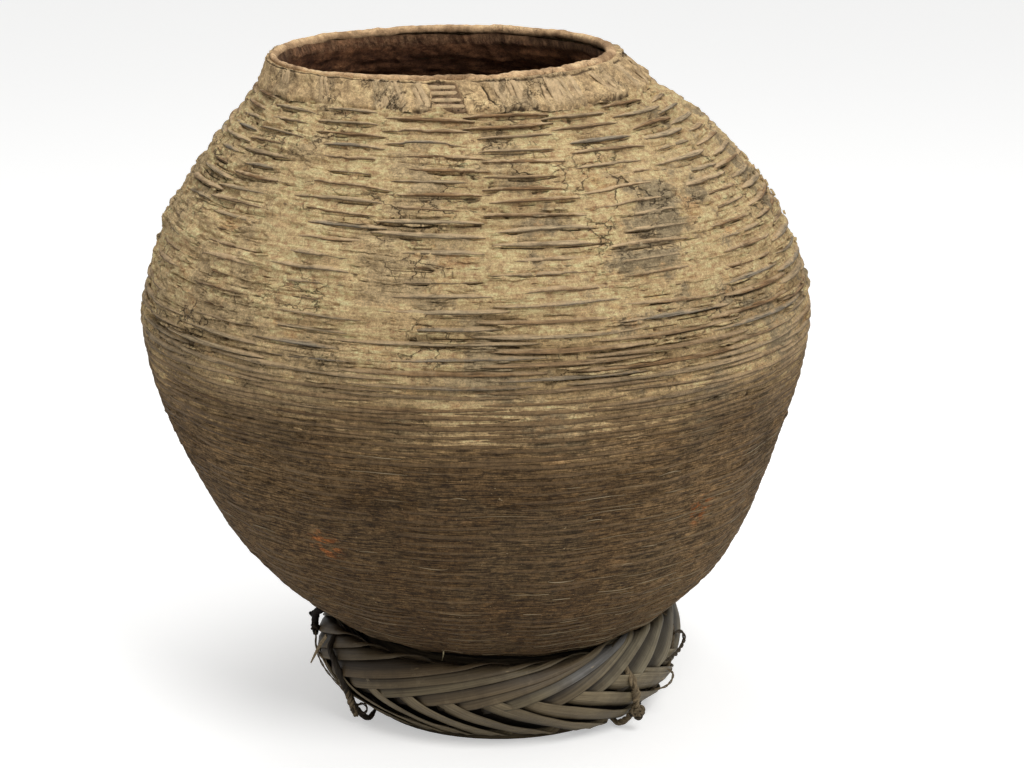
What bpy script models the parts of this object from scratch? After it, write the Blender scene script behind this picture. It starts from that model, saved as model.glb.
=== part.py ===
"""Storage basket: a round woven basket daubed with clay, tied to a plaited ring foot.

Metres, +Z up. The floor is z = 0 and the widest circle of the basket is centred on x = y = 0.
The front looks along -Y. As on the hand-made basket, the rim leans to -X and the foot sits
a little to +X.
"""
import math
from collections import namedtuple

import bmesh
import bpy
import numpy as np
from mathutils import Vector

# Clearance between two pieces that touch
GAP = 0.0003

# Basket body, measured on the outer surface of the clay
BELLY_RADIUS = 0.243
BELLY_HEIGHT = 0.2324        # seat on the foot up to the widest circle
SHOULDER_HEIGHT = 0.1874     # widest circle up to the top of the collar
RIM_RADIUS = 0.1264
BASE_DROP = 0.0172           # seat down to the lowest point of the bowl
RIM_SHIFT = 0.0215           # centre of the rim, to -X
FOOT_SHIFT = 0.0168          # centre of the foot, to +X

# Layers of the wall, from outside to inside
COAT_THICKNESS = 0.0018
WEFT_THICKNESS = 0.0024
RIB_THICKNESS = 0.0018
LINING_THICKNESS = 0.0022

# Collar and rim
COLLAR_HEIGHT = 0.020        # along the slope
COLLAR_PROUD = 0.0008        # lashing, out from the clay
INNER_HOOP_THICKNESS = 0.0025
LASHING_WIDTH = 0.0042
LASHING_THICKNESS = 0.0010
LIP_THICKNESS = 0.0072

# Base
BASE_MAT_RADIUS = 0.034

# Ring foot
FOOT_HOOP_RADIUS = 0.101     # inner face of the hoop that carries the basket
FOOT_HOOP_HEIGHT = 0.0656
FOOT_HOOP_THICKNESS = 0.0040
HOOP_TAPER = 0.0080          # how much narrower that hoop is at the floor than at its top
BAND_THICKNESS = 0.0045
BAND_RISE = 0.0030           # top edge of the band, above the top of the hoop
BAND_FLARE = 0.0236          # how far the top edge of the band lies outside its bottom edge
BAND_CROWN = 0.0160          # how far the band swells between its edges
FILLER_HEIGHT = 0.022
FILLER_DROP = 0.0030         # each filler hoop below the last, from the band's top inward
TIE_THICKNESS = 0.0028
KNOT_THICKNESS = 0.0050

# Counts
RIB_COUNT = 17
FACETS_PER_RIB = 3
LASHING_CORNER = 2           # the lashing passes outside at this corner of each bay, between two staves
LASHING_STEPS = 6            # points between two sections of the lashing, where its gap is measured
UPPER_ROWS = 5
LOWER_ROWS = 6
BASE_ROWS = 2
OUTLINE_STEPS = 24
FILLER_COUNT = 3
LIP_SIDES = 8
TIE_SIDES = 6

# Shape of the shoulder: share of the way up to the rim, share of the way in to it
SHOULDER_SHARES = ((0.15, 0.037), (0.34, 0.13), (0.53, 0.295), (0.73, 0.57), (0.91, 0.89))
# Shape of the lower wall: share of the way down to the seat, share of the way in to it
LOWER_SHARES = ((0.19, 0.055), (0.42, 0.19), (0.65, 0.365), (0.81, 0.555), (0.93, 0.78))
# Shape of the bowl: share of the seat's radius, share of the drop above the lowest point
BASE_SHARES = ((0.5, 0.25),)
# The lean grows towards the rim and the foot with these powers of the height
RIM_LEAN_POWER = 4
FOOT_LEAN_POWER = 2
RIB_WIDTH_SHARE = 0.75       # of one facet of the wall
BEND_SHARE = 0.30            # of the collar's height, where the lashing turns inside
BAND_SHARES = (0.0, 0.2, 0.45, 0.7, 1.0)

# Where the ties lie, as facet corners counted from the front to the right
TIE_CORNERS = {"left": -8, "front_right": 8, "right": 12, "back": 26}
FIRST_RIB_TURN = math.radians(-10.2)   # from the front, so that a stave lies left of the middle

AROUND = RIB_COUNT * FACETS_PER_RIB
FACET_TURN = 2 * math.pi / AROUND
FRONT_TURN = -math.pi / 2
CORNER_TURNS = [FRONT_TURN + FIRST_RIB_TURN + number * FACET_TURN for number in range(AROUND)]

# Depth of each layer below the outer surface
WEFT_DEPTH = COAT_THICKNESS + GAP
RIB_DEPTH = WEFT_DEPTH + WEFT_THICKNESS + GAP
LINING_DEPTH = RIB_DEPTH + RIB_THICKNESS + GAP
OUTER_HOOP_DEPTH = LASHING_THICKNESS - COLLAR_PROUD + GAP
LASHING_SLOT = LASHING_THICKNESS + 2 * GAP

# Heights above the floor
SEAT_Z = FOOT_HOOP_HEIGHT + GAP
BELLY_Z = SEAT_Z + BELLY_HEIGHT
COLLAR_Z = BELLY_Z + SHOULDER_HEIGHT
BASE_Z = SEAT_Z - BASE_DROP
BAND_TOP = FOOT_HOOP_HEIGHT + BAND_RISE
BAND_BOTTOM = TIE_THICKNESS + 2 * GAP

# Radii of the foot
HOOP_OUTER_RADIUS = FOOT_HOOP_RADIUS + FOOT_HOOP_THICKNESS
TIE_RUN_RADIUS = HOOP_OUTER_RADIUS + GAP + TIE_THICKNESS / 2
FILLER_START = TIE_RUN_RADIUS + TIE_THICKNESS / 2 + GAP
BOTTOM_TAPER = HOOP_TAPER * (1 - BAND_BOTTOM / FOOT_HOOP_HEIGHT)
BAND_BOTTOM_RADIUS = FILLER_START + BAND_THICKNESS - BOTTOM_TAPER
FILLER_END = BAND_BOTTOM_RADIUS + BAND_FLARE - BAND_THICKNESS - GAP

Row = namedtuple("Row", "radius height out_r out_z shift")

# Colours are linear red, green and blue
CLAY = (0.36, 0.25, 0.13)
DARK_CLAY = (0.06, 0.035, 0.02)
WEAVE = (0.20, 0.14, 0.08)
STAVE = (0.30, 0.21, 0.11)
SPLINT = (0.10, 0.08, 0.05)
STRIP = (0.28, 0.22, 0.15)
CORD = (0.05, 0.04, 0.03)
ROUGHNESS = {CLAY: 0.95, DARK_CLAY: 0.95, WEAVE: 0.75, STAVE: 0.6, SPLINT: 0.6, STRIP: 0.65, CORD: 0.85}
SMOOTH_ANGLE = math.radians(40)


def clear_scene():
    for item in list(bpy.data.objects):
        bpy.data.objects.remove(item, do_unlink=True)


def make_material(name, colour):
    material = bpy.data.materials.new(name + "_finish")
    material.use_nodes = True
    shader = material.node_tree.nodes["Principled BSDF"]
    shader.inputs["Base Color"].default_value = (*colour, 1)
    shader.inputs["Roughness"].default_value = ROUGHNESS[colour]
    shader.inputs["Metallic"].default_value = 0
    return material


def loft(name, loops, colour, closed=False, parent=None):
    """One closed body through loops of points; a loop of one point is a pole."""
    mesh = bpy.data.meshes.new(name)
    work = bmesh.new()
    rings = [[work.verts.new(point) for point in loop] for loop in loops]
    pairs = list(zip(rings, rings[1:]))
    if closed:
        pairs.append((rings[-1], rings[0]))
    for first, second in pairs:
        for index in range(max(len(first), len(second))):
            corners = [first[index % len(first)]]
            if len(first) > 1:
                corners.append(first[(index + 1) % len(first)])
            if len(second) > 1:
                corners.append(second[(index + 1) % len(second)])
            corners.append(second[index % len(second)])
            work.faces.new(corners)
    if not closed:
        for ring in (rings[0], rings[-1]):
            if len(ring) > 1:
                work.faces.new(ring)
    bmesh.ops.recalc_face_normals(work, faces=work.faces)
    if work.calc_volume(signed=True) < 0:
        bmesh.ops.reverse_faces(work, faces=work.faces)
    work.to_mesh(mesh)
    work.free()
    mesh.shade_smooth()
    mesh.set_sharp_from_angle(angle=SMOOTH_ANGLE)
    mesh.materials.append(make_material(name, colour))
    piece = bpy.data.objects.new(name, mesh)
    bpy.context.collection.objects.link(piece)
    piece.parent = parent
    return piece


def between(start, end, share):
    return start + (end - start) * share


def outline_knots():
    """The points that the outer surface passes through, from the collar to the lowest point."""
    knots = [(RIM_RADIUS, COLLAR_Z)]
    for up, inward in reversed(SHOULDER_SHARES):
        knots.append((between(BELLY_RADIUS, RIM_RADIUS, inward), between(BELLY_Z, COLLAR_Z, up)))
    knots.append((BELLY_RADIUS, BELLY_Z))
    for down, inward in LOWER_SHARES:
        knots.append((between(BELLY_RADIUS, FOOT_HOOP_RADIUS, inward), between(BELLY_Z, SEAT_Z, down)))
    knots.append((FOOT_HOOP_RADIUS, SEAT_Z))
    for outward, up in BASE_SHARES:
        knots.append((FOOT_HOOP_RADIUS * outward, between(BASE_Z, SEAT_Z, up)))
    knots.append((0, BASE_Z))
    return np.array(knots)


def smooth_outline(knots):
    """A smooth curve through the knots, with its length at each point."""
    first = 2 * knots[0] - knots[1]
    last = knots[-2] * (-1, 1)
    padded = np.vstack([first, knots, last])
    points = []
    for index in range(len(knots) - 1):
        before, start, end, after = padded[index:index + 4]
        for step in range(OUTLINE_STEPS):
            t = step / OUTLINE_STEPS
            points.append(0.5 * (2 * start + (end - before) * t
                                 + (2 * before - 5 * start + 4 * end - after) * t ** 2
                                 + (3 * start - before - 3 * end + after) * t ** 3))
    points.append(knots[-1])
    points = np.array(points)
    lengths = np.concatenate([[0], np.cumsum(np.linalg.norm(np.diff(points, axis=0), axis=1))])
    return points, lengths


OUTLINE, OUTLINE_LENGTHS = smooth_outline(outline_knots())
BELLY_WAY = OUTLINE_LENGTHS[(len(SHOULDER_SHARES) + 1) * OUTLINE_STEPS]
SEAT_WAY = OUTLINE_LENGTHS[(len(SHOULDER_SHARES) + len(LOWER_SHARES) + 2) * OUTLINE_STEPS]
POLE_WAY = OUTLINE_LENGTHS[-1]
BOWL_POINTS = (len(BASE_SHARES) + 1) * OUTLINE_STEPS
MAT_WAY = np.interp(-BASE_MAT_RADIUS, -OUTLINE[-BOWL_POINTS:, 0], OUTLINE_LENGTHS[-BOWL_POINTS:])


def lean(height):
    """How far the centre of the basket lies to +X at this height."""
    if height > BELLY_Z:
        return -RIM_SHIFT * ((height - BELLY_Z) / SHOULDER_HEIGHT) ** RIM_LEAN_POWER
    return FOOT_SHIFT * min(1, (BELLY_Z - height) / BELLY_HEIGHT) ** FOOT_LEAN_POWER


def row_at(way):
    """The outer surface at this way down from the collar, with its outward direction."""
    radius = np.interp(way, OUTLINE_LENGTHS, OUTLINE[:, 0])
    height = np.interp(way, OUTLINE_LENGTHS, OUTLINE[:, 1])
    slopes = np.gradient(OUTLINE, OUTLINE_LENGTHS, axis=0)
    run_r = np.interp(way, OUTLINE_LENGTHS, slopes[:, 0])
    run_z = np.interp(way, OUTLINE_LENGTHS, slopes[:, 1])
    if way >= POLE_WAY:
        return Row(0, BASE_Z, 0, -1, lean(BASE_Z))
    length = math.hypot(run_r, run_z)
    return Row(radius, height, -run_z / length, run_r / length, lean(height))


def ring(row, depth):
    """The corners round the basket on this row, this deep below the outer surface."""
    radius = row.radius - depth * row.out_r
    height = row.height - depth * row.out_z
    if row.radius == 0:
        return [Vector((row.shift, 0, height))]
    return [Vector((row.shift + radius * math.cos(turn), radius * math.sin(turn), height))
            for turn in CORNER_TURNS]


def spread(start, end, count):
    return [between(start, end, number / count) for number in range(count + 1)]


# The collar is a plain cone, so its two rows share one outward direction
collar_top = row_at(0)
collar_end = row_at(COLLAR_HEIGHT)
cone_run = Vector((collar_end.radius - collar_top.radius, collar_end.height - collar_top.height))
CONE_OUT = (-cone_run.normalized().y, cone_run.normalized().x)
COLLAR_ROWS = [row._replace(out_r=CONE_OUT[0], out_z=CONE_OUT[1]) for row in (collar_top, collar_end)]

WALL_START = COLLAR_HEIGHT + LASHING_SLOT
WALL_WAYS = (spread(WALL_START, BELLY_WAY, UPPER_ROWS)[:-1] + spread(BELLY_WAY, SEAT_WAY, LOWER_ROWS)[:-1]
             + spread(SEAT_WAY, MAT_WAY, BASE_ROWS) + [POLE_WAY])
WALL_ROWS = [row_at(way) for way in WALL_WAYS]


def make_shell(name, depth, thickness, rows, colour):
    """A layer of the wall, open at the top and closed under the base."""
    outside = [ring(row, depth) for row in rows]
    inside = [ring(row, depth + thickness) for row in rows]
    return loft(name, outside[::-1] + inside, colour)


def make_wall():
    make_shell("clay_coat", 0, COAT_THICKNESS, WALL_ROWS, CLAY)
    make_shell("weft_wall", WEFT_DEPTH, WEFT_THICKNESS, WALL_ROWS, WEAVE)
    last_even = WALL_ROWS[:-1:2] + [WALL_ROWS[-1]]
    make_shell("clay_lining", LINING_DEPTH, LINING_THICKNESS, last_even, DARK_CLAY)
    make_shell("base_mat", RIB_DEPTH, RIB_THICKNESS, WALL_ROWS[-2:], STAVE)


def make_ribs():
    """Each stave lies flat on one facet of the wall, from the collar to the base mat."""
    rows = COLLAR_ROWS + WALL_ROWS[1:-2] + [row_at(MAT_WAY - GAP)]
    edge_shares = ((1 - RIB_WIDTH_SHARE) / 2, (1 + RIB_WIDTH_SHARE) / 2)
    for number in range(RIB_COUNT):
        first = number * FACETS_PER_RIB
        second = first + 1
        loops = []
        for row in rows:
            outside = ring(row, RIB_DEPTH)
            inside = ring(row, RIB_DEPTH + RIB_THICKNESS)
            loops.append([outside[first].lerp(outside[second], edge_shares[0]),
                          outside[first].lerp(outside[second], edge_shares[1]),
                          inside[first].lerp(inside[second], edge_shares[1]),
                          inside[first].lerp(inside[second], edge_shares[0])])
        loft(f"rib_{number + 1:02d}", loops, STAVE)


def make_hoop(name, depth, thickness, colour):
    """A flat strip bent into a hoop that follows the collar."""
    loops = [ring(COLLAR_ROWS[0], depth), ring(COLLAR_ROWS[1], depth),
             ring(COLLAR_ROWS[1], depth + thickness), ring(COLLAR_ROWS[0], depth + thickness)]
    return loft(name, loops, colour, closed=True)


def collar_place(corner, way, depth):
    """A point by facet corner, way down the collar and depth below its surface."""
    share = way / COLLAR_HEIGHT
    turn = CORNER_TURNS[0] + corner * FACET_TURN
    radius = between(COLLAR_ROWS[0].radius, COLLAR_ROWS[1].radius, share) - depth * CONE_OUT[0]
    height = between(COLLAR_ROWS[0].height, COLLAR_ROWS[1].height, share) - depth * CONE_OUT[1]
    shift = between(COLLAR_ROWS[0].shift, COLLAR_ROWS[1].shift, share)
    return Vector((shift + radius * math.cos(turn), radius * math.sin(turn), height))


OUTER_RUN_DEPTH = LASHING_THICKNESS / 2 - COLLAR_PROUD
INNER_HOOP_END = LINING_DEPTH + INNER_HOOP_THICKNESS
INNER_RUN_DEPTH = INNER_HOOP_END + GAP + LASHING_THICKNESS / 2
EDGE_RUN = GAP + LASHING_THICKNESS / 2


def lashing_section(corner, way, depth, width, thick):
    """The strip's centre and its four corners. Width goes across and down, thick goes out and down."""
    turn = CORNER_TURNS[0] + corner * FACET_TURN
    across = Vector((-math.sin(turn), math.cos(turn), 0))
    corners = []
    for side, face in ((1, 1), (-1, 1), (-1, -1), (1, -1)):
        place = collar_place(corner, way + side * width[1] + face * thick[1], depth - face * thick[0])
        corners.append(place + across * side * width[0])
    return collar_place(corner, way, depth), corners


def lashing_turn(corner):
    """One turn: down outside, in below the hoops, up and along inside, out over the top."""
    half = LASHING_THICKNESS / 2
    top = -EDGE_RUN
    bottom = COLLAR_HEIGHT + EDGE_RUN
    high_bend = COLLAR_HEIGHT * BEND_SHARE
    low_bend = COLLAR_HEIGHT - high_bend
    after = corner + FACETS_PER_RIB
    level = (LASHING_WIDTH / 2, 0)
    folded = (LASHING_WIDTH / 2 * math.cos(math.pi / 4), LASHING_WIDTH / 2 * math.sin(math.pi / 4))
    straight = (0, LASHING_WIDTH / 2)
    corner_bend = half * math.tan(math.pi / 8)

    def slanted(number, way):
        width = straight if 0 < number < FACETS_PER_RIB else folded
        return lashing_section(corner + number, way, INNER_RUN_DEPTH, width, (-half, 0))

    steps = spread(low_bend, high_bend, FACETS_PER_RIB)
    return [lashing_section(corner, top + half, OUTER_RUN_DEPTH, level, (half, -corner_bend)),
            lashing_section(corner, bottom - half, OUTER_RUN_DEPTH, level, (half, corner_bend)),
            lashing_section(corner, bottom, OUTER_RUN_DEPTH + half, level, (corner_bend, half)),
            lashing_section(corner, bottom, INNER_RUN_DEPTH - half, level, (-corner_bend, half)),
            lashing_section(corner, bottom - half, INNER_RUN_DEPTH, level, (-half, corner_bend)),
            *[slanted(number, way) for number, way in enumerate(steps)],
            lashing_section(after, top + half, INNER_RUN_DEPTH, level, (-half, -corner_bend)),
            lashing_section(after, top, INNER_RUN_DEPTH - half, level, (-corner_bend, -half)),
            lashing_section(after, top, OUTER_RUN_DEPTH + half, level, (corner_bend, -half))]


def least_gap(points, width):
    """The least gap of a wound strip to itself, on points along it, a half turn or more apart."""
    fine = [start.lerp(end, step / LASHING_STEPS)
            for start, end in zip(points, points[1:]) for step in range(LASHING_STEPS)]
    places = np.array(fine)
    skip = len(points) // RIB_COUNT * LASHING_STEPS // 2
    least = min(np.linalg.norm(places[index + skip:] - places[index], axis=1).min()
                for index in range(len(places) - skip))
    return least - width


def make_lashing():
    sections = []
    for number in range(RIB_COUNT):
        sections += lashing_turn(LASHING_CORNER + number * FACETS_PER_RIB)
    sections.pop()
    places, loops = zip(*sections)
    loft("rim_lashing", loops, STRIP)
    gap = least_gap(places, LASHING_WIDTH)
    print(f"rim_lashing: {RIB_COUNT} turns, least gap to itself {gap * 1000:.2f} mm")


def make_lip():
    """A roll that lies on top of the lashed hoops."""
    stack_middle = (OUTER_RUN_DEPTH + INNER_RUN_DEPTH) / 2
    way = -(LASHING_SLOT + LIP_THICKNESS / 2)
    loops = []
    for side in range(LIP_SIDES):
        turn = 2 * math.pi * side / LIP_SIDES
        deep = stack_middle + LIP_THICKNESS / 2 * math.cos(turn)
        up = way + LIP_THICKNESS / 2 * math.sin(turn)
        loops.append([collar_place(corner, up, deep) for corner in range(AROUND)])
    loft("rim_lip", loops, CLAY, closed=True)


def make_rim():
    make_hoop("rim_outer_hoop", OUTER_HOOP_DEPTH, RIB_DEPTH - GAP - OUTER_HOOP_DEPTH, STAVE)
    make_hoop("rim_inner_hoop", LINING_DEPTH, INNER_HOOP_THICKNESS, STAVE)
    make_lashing()
    make_lip()


def turned(name, section, colour, parent):
    """A ring of the foot, from points of radius and height."""
    loops = [[Vector((radius * math.cos(turn), radius * math.sin(turn), height)) for turn in CORNER_TURNS]
             for radius, height in section]
    return loft(name, loops, colour, closed=True, parent=parent)


def box_section(radius, thickness, bottom, top):
    return [(radius, bottom), (radius + thickness, bottom), (radius + thickness, top), (radius, top)]


def band_radius(share):
    """Outer radius of the plaited band, by its share of the height."""
    return BAND_BOTTOM_RADIUS + BAND_FLARE * share + BAND_CROWN * math.sin(math.pi * share)


def band_lean(share):
    """How far up the band's face looks here, in degrees: below zero it looks down."""
    run = BAND_FLARE + BAND_CROWN * math.pi * math.cos(math.pi * share)
    return math.degrees(math.atan2(-run, BAND_TOP - BAND_BOTTOM))


def make_band(parent):
    outside = [(band_radius(share), between(BAND_BOTTOM, BAND_TOP, share)) for share in BAND_SHARES]
    inside = [(radius - BAND_THICKNESS, height) for radius, height in outside]
    turned("foot_plait", outside + inside[::-1], SPLINT, parent)


def make_fillers(parent):
    room = FILLER_END - FILLER_START - (FILLER_COUNT - 1) * GAP
    thickness = room / FILLER_COUNT
    for number in range(FILLER_COUNT):
        radius = FILLER_END - thickness - number * (thickness + GAP)
        top = BAND_TOP - (number + 1) * FILLER_DROP
        section = box_section(radius, thickness, top - FILLER_HEIGHT, top)
        turned(f"foot_filler_hoop_{number + 1}", section, SPLINT, parent)


def corner_arc(radius, height, reach, start, end):
    """Places round a corner of the band, at this reach from it, by angles in degrees."""
    steps = spread(start, end, 2)
    return [(radius + reach * math.cos(math.radians(angle)), height + reach * math.sin(math.radians(angle)))
            for angle in steps]


def tie_route():
    """Radius, height, side step and thickness along one tie, which goes once round the band."""
    reach = GAP + TIE_THICKNESS / 2
    side = (KNOT_THICKNESS + TIE_THICKNESS) / 4 + GAP
    knot_reach = GAP + KNOT_THICKNESS / 2
    tail_shares = (0.34, 0.42, 0.50, 0.58)
    rise_shares = (0.70, 0.85)
    end_shares = (0.12, 0.30, 0.48, 0.60)

    def face(share, out):
        lean_angle = math.radians(band_lean(share))
        height = between(BAND_BOTTOM, BAND_TOP, share)
        return (band_radius(share) + out * math.cos(lean_angle), height + out * math.sin(lean_angle))

    tail, knot_low, knot_high, neck = tail_shares
    route = [(*face(tail, reach), -side, TIE_THICKNESS),
             (*face(knot_low, knot_reach), -side, KNOT_THICKNESS),
             (*face(knot_high, knot_reach), -side, KNOT_THICKNESS),
             (*face(neck, reach), -side, TIE_THICKNESS)]
    route += [(*face(share, reach), -side, TIE_THICKNESS) for share in rise_shares]
    over = corner_arc(band_radius(1), BAND_TOP, reach, band_lean(1), 90)
    over.append((band_radius(1) - BAND_THICKNESS, BAND_TOP + reach))
    over.append((TIE_RUN_RADIUS, BAND_TOP - 2 * FILLER_DROP))
    route += [(radius, height, -side, TIE_THICKNESS) for radius, height in over]
    under = corner_arc(BAND_BOTTOM_RADIUS - BAND_THICKNESS, BAND_BOTTOM, reach, 180, 270)
    under += corner_arc(BAND_BOTTOM_RADIUS, BAND_BOTTOM, reach, 270, 360 + band_lean(0))
    route += [(radius, height, side, TIE_THICKNESS) for radius, height in under]
    route += [(*face(share, reach), side, TIE_THICKNESS) for share in end_shares]
    return route


def make_tie(name, corner, parent):
    turn = CORNER_TURNS[corner % AROUND]
    outward = Vector((math.cos(turn), math.sin(turn), 0))
    across = Vector((-math.sin(turn), math.cos(turn), 0))
    route = tie_route()
    places = [outward * radius + across * side + Vector((0, 0, height))
              for radius, height, side, thickness in route]
    loops = []
    for index, place in enumerate(places):
        before = places[max(index - 1, 0)]
        after = places[min(index + 1, len(places) - 1)]
        direction = (after - before).normalized()
        level = (across - direction * across.dot(direction)).normalized()
        upright = direction.cross(level)
        reach = route[index][3] / 2
        loops.append([place + (level * math.cos(angle) + upright * math.sin(angle)) * reach
                      for angle in spread(0, 2 * math.pi, TIE_SIDES)[:-1]])
    loft(name, loops, CORD, parent=parent)


def make_foot():
    foot = bpy.data.objects.new("foot_centre", None)
    foot.location = (FOOT_SHIFT, 0, 0)
    bpy.context.collection.objects.link(foot)
    hoop = [(FOOT_HOOP_RADIUS - HOOP_TAPER, 0), (HOOP_OUTER_RADIUS - HOOP_TAPER, 0),
            (HOOP_OUTER_RADIUS, FOOT_HOOP_HEIGHT), (FOOT_HOOP_RADIUS, FOOT_HOOP_HEIGHT)]
    turned("foot_inner_hoop", hoop, SPLINT, foot)
    make_fillers(foot)
    make_band(foot)
    for side, corner in TIE_CORNERS.items():
        make_tie("foot_tie_" + side, corner, foot)


clear_scene()
make_wall()
make_ribs()
make_rim()
make_foot()
bpy.context.view_layer.update()
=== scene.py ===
# %% [markdown]
# # A daubed storage basket
#
# The real basket is woven from split bamboo round upright staves, plastered with clay inside and
# out, and tied to a plaited ring foot. Age has worn the clay off the wefts, so the surface is half
# basket and half dry earth. This lesson dresses the plain solids of that basket in Blender.
#
# The first cell loads the solids. They stay where they are: every piece made below is laid over
# one of them, and its sizes are read from their boxes, so nothing has to be fitted afterwards.

# %% Load the basket's solids
import math

import bpy
import numpy as np
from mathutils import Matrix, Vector


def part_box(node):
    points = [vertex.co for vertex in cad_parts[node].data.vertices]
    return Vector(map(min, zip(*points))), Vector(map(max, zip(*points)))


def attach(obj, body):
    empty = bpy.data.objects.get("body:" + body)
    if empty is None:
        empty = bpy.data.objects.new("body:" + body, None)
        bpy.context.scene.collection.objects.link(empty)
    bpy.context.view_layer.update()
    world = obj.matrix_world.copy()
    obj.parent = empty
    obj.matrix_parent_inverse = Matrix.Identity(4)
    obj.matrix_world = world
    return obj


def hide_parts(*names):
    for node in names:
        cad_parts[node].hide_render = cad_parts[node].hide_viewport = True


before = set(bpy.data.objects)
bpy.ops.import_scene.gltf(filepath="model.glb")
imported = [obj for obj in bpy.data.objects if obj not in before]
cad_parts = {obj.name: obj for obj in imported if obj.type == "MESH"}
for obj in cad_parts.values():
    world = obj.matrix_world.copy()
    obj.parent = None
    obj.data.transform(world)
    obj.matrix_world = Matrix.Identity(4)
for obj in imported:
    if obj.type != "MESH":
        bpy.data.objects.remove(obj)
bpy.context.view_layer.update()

# %% [markdown]
# The camera and the cords come first in most scenes, because they decide what can be seen. This
# basket has no free cord, only short ties, so the camera comes alone. A long lens a couple of
# metres away, tipped down a little, gives the calm view of a catalogue picture: the mouth shows
# as a narrow ellipse, and the rows of weaving bend up at both sides.

# %% Place the camera
CAMERA_PLACE = (0.0266, -2.0, 0.77)
CAMERA_TIP = math.radians(90 - 14.8)
LENS = 98.44

camera_data = bpy.data.cameras.new("camera")
camera_data.lens = LENS
camera_data.sensor_width = 36
camera = bpy.data.objects.new("camera", camera_data)
camera.location = CAMERA_PLACE
camera.rotation_euler = (CAMERA_TIP, 0, 0)
bpy.context.collection.objects.link(camera)
bpy.context.scene.camera = camera
bpy.context.scene.view_settings.view_transform = "Standard"
print("camera at", CAMERA_PLACE, "with a", LENS, "mm lens")

# %% [markdown]
# A basket is a turned shape that leans. One side view of its wall, as a smooth curve, is enough
# to find any point on it: go down the curve by some way, turn round the middle by some angle, and
# step off the surface by some lift. The curve's main sizes come from the solids' boxes, and the
# shares between them give the swell of the shoulder and the narrower bowl below.

# %% Sizes of the wall
GAP = 0.0003
BELLY_HEIGHT = 0.2324        # from the seat on the foot up to the widest circle
SHOULDER_HEIGHT = 0.1874     # from there up to the top of the collar
RIM_RADIUS = 0.1264
BASE_DROP = 0.0172
RIM_SHIFT = 0.0215
COLLAR_HEIGHT = 0.020
COLLAR_REACH = 0.02          # the curve goes on this far above the collar, for the lip

coat_low, coat_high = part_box("clay_coat")
hoop_low, hoop_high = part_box("foot_inner_hoop")
BELLY_RADIUS = (coat_high[1] - coat_low[1]) / 2
FOOT_RADIUS = (hoop_high[1] - hoop_low[1]) / 2
FOOT_SHIFT = (hoop_high[0] + hoop_low[0]) / 2
SEAT_Z = hoop_high[2] + GAP
BELLY_Z = SEAT_Z + BELLY_HEIGHT
COLLAR_Z = BELLY_Z + SHOULDER_HEIGHT
BASE_Z = SEAT_Z - BASE_DROP
print(f"the belly is {2 * BELLY_RADIUS * 1000:.0f} mm across, the collar's top {COLLAR_Z * 1000:.0f} mm high")


# %% Helpers for smooth changes and smooth lines
def between(start, end, share):
    return start + (end - start) * share


def soft(share):
    return share * share * (3 - 2 * share)


def ease(value, low, high):
    """0 below low, 1 above high, and a smooth step between them."""
    return soft(np.clip((value - low) / (high - low), 0, 1))


def peak(value, middle, half):
    """1 where the value is at the middle, falling off to both sides over half."""
    return np.exp(-((value - middle) / half) ** 2)


def unit(vectors):
    return vectors / np.linalg.norm(vectors, axis=-1, keepdims=True)


def smooth_runs(points, t):
    """A smooth line through these points, a run of steps t for each pair. The end points only steer it."""
    runs = []
    for before, start, end, after in zip(points, points[1:], points[2:], points[3:]):
        runs.append(0.5 * (2 * start + (end - before) * t
                           + (2 * before - 5 * start + 4 * end - after) * t ** 2
                           + (3 * start - before - 3 * end + after) * t ** 3))
    return runs


def lengths_along(line):
    return np.concatenate([[0], np.cumsum(np.linalg.norm(np.diff(line, axis=0), axis=1))])


print("a smooth step", [round(float(ease(share, 0, 1)), 2) for share in (0, 0.25, 0.5, 0.75, 1)])

# %% Draw the wall's side view
SHOULDER_SHARES = ((0.15, 0.037), (0.34, 0.13), (0.53, 0.295), (0.73, 0.57), (0.91, 0.89))
LOWER_SHARES = ((0.19, 0.055), (0.42, 0.19), (0.65, 0.365), (0.81, 0.555), (0.93, 0.78))
BASE_SHARE = (0.5, 0.25)
CURVE_STEPS = 24


def wall_curve():
    """Radius and height along the wall, from above the collar to the middle of the base."""
    knots = [(RIM_RADIUS, COLLAR_Z)]
    for up, inward in reversed(SHOULDER_SHARES):
        knots.append((between(BELLY_RADIUS, RIM_RADIUS, inward), between(BELLY_Z, COLLAR_Z, up)))
    knots.append((BELLY_RADIUS, BELLY_Z))
    for down, inward in LOWER_SHARES:
        knots.append((between(BELLY_RADIUS, FOOT_RADIUS, inward), between(BELLY_Z, SEAT_Z, down)))
    knots.append((FOOT_RADIUS, SEAT_Z))
    knots.append((FOOT_RADIUS * BASE_SHARE[0], between(BASE_Z, SEAT_Z, BASE_SHARE[1])))
    knots.append((0, BASE_Z))
    knots = np.array(knots)
    steered = np.vstack([2 * knots[0] - knots[1], knots, knots[-2] * (-1, 1)])
    runs = smooth_runs(steered, np.arange(CURVE_STEPS)[:, None] / CURVE_STEPS)
    above = runs[0][0] - unit(runs[0][1] - runs[0][0]) * COLLAR_REACH
    return np.vstack([above, *runs, knots[-1]])


CURVE = wall_curve()
WAYS = lengths_along(CURVE) - COLLAR_REACH
SLOPES = unit(np.gradient(CURVE, WAYS, axis=0))
BELLY_WAY = WAYS[1 + (len(SHOULDER_SHARES) + 1) * CURVE_STEPS]
SEAT_WAY = WAYS[1 + (len(SHOULDER_SHARES) + len(LOWER_SHARES) + 2) * CURVE_STEPS]
POLE_WAY = WAYS[-1]
print(f"the wall is {POLE_WAY * 1000:.0f} mm from collar to base, the belly at {BELLY_WAY * 1000:.0f} mm")

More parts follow.
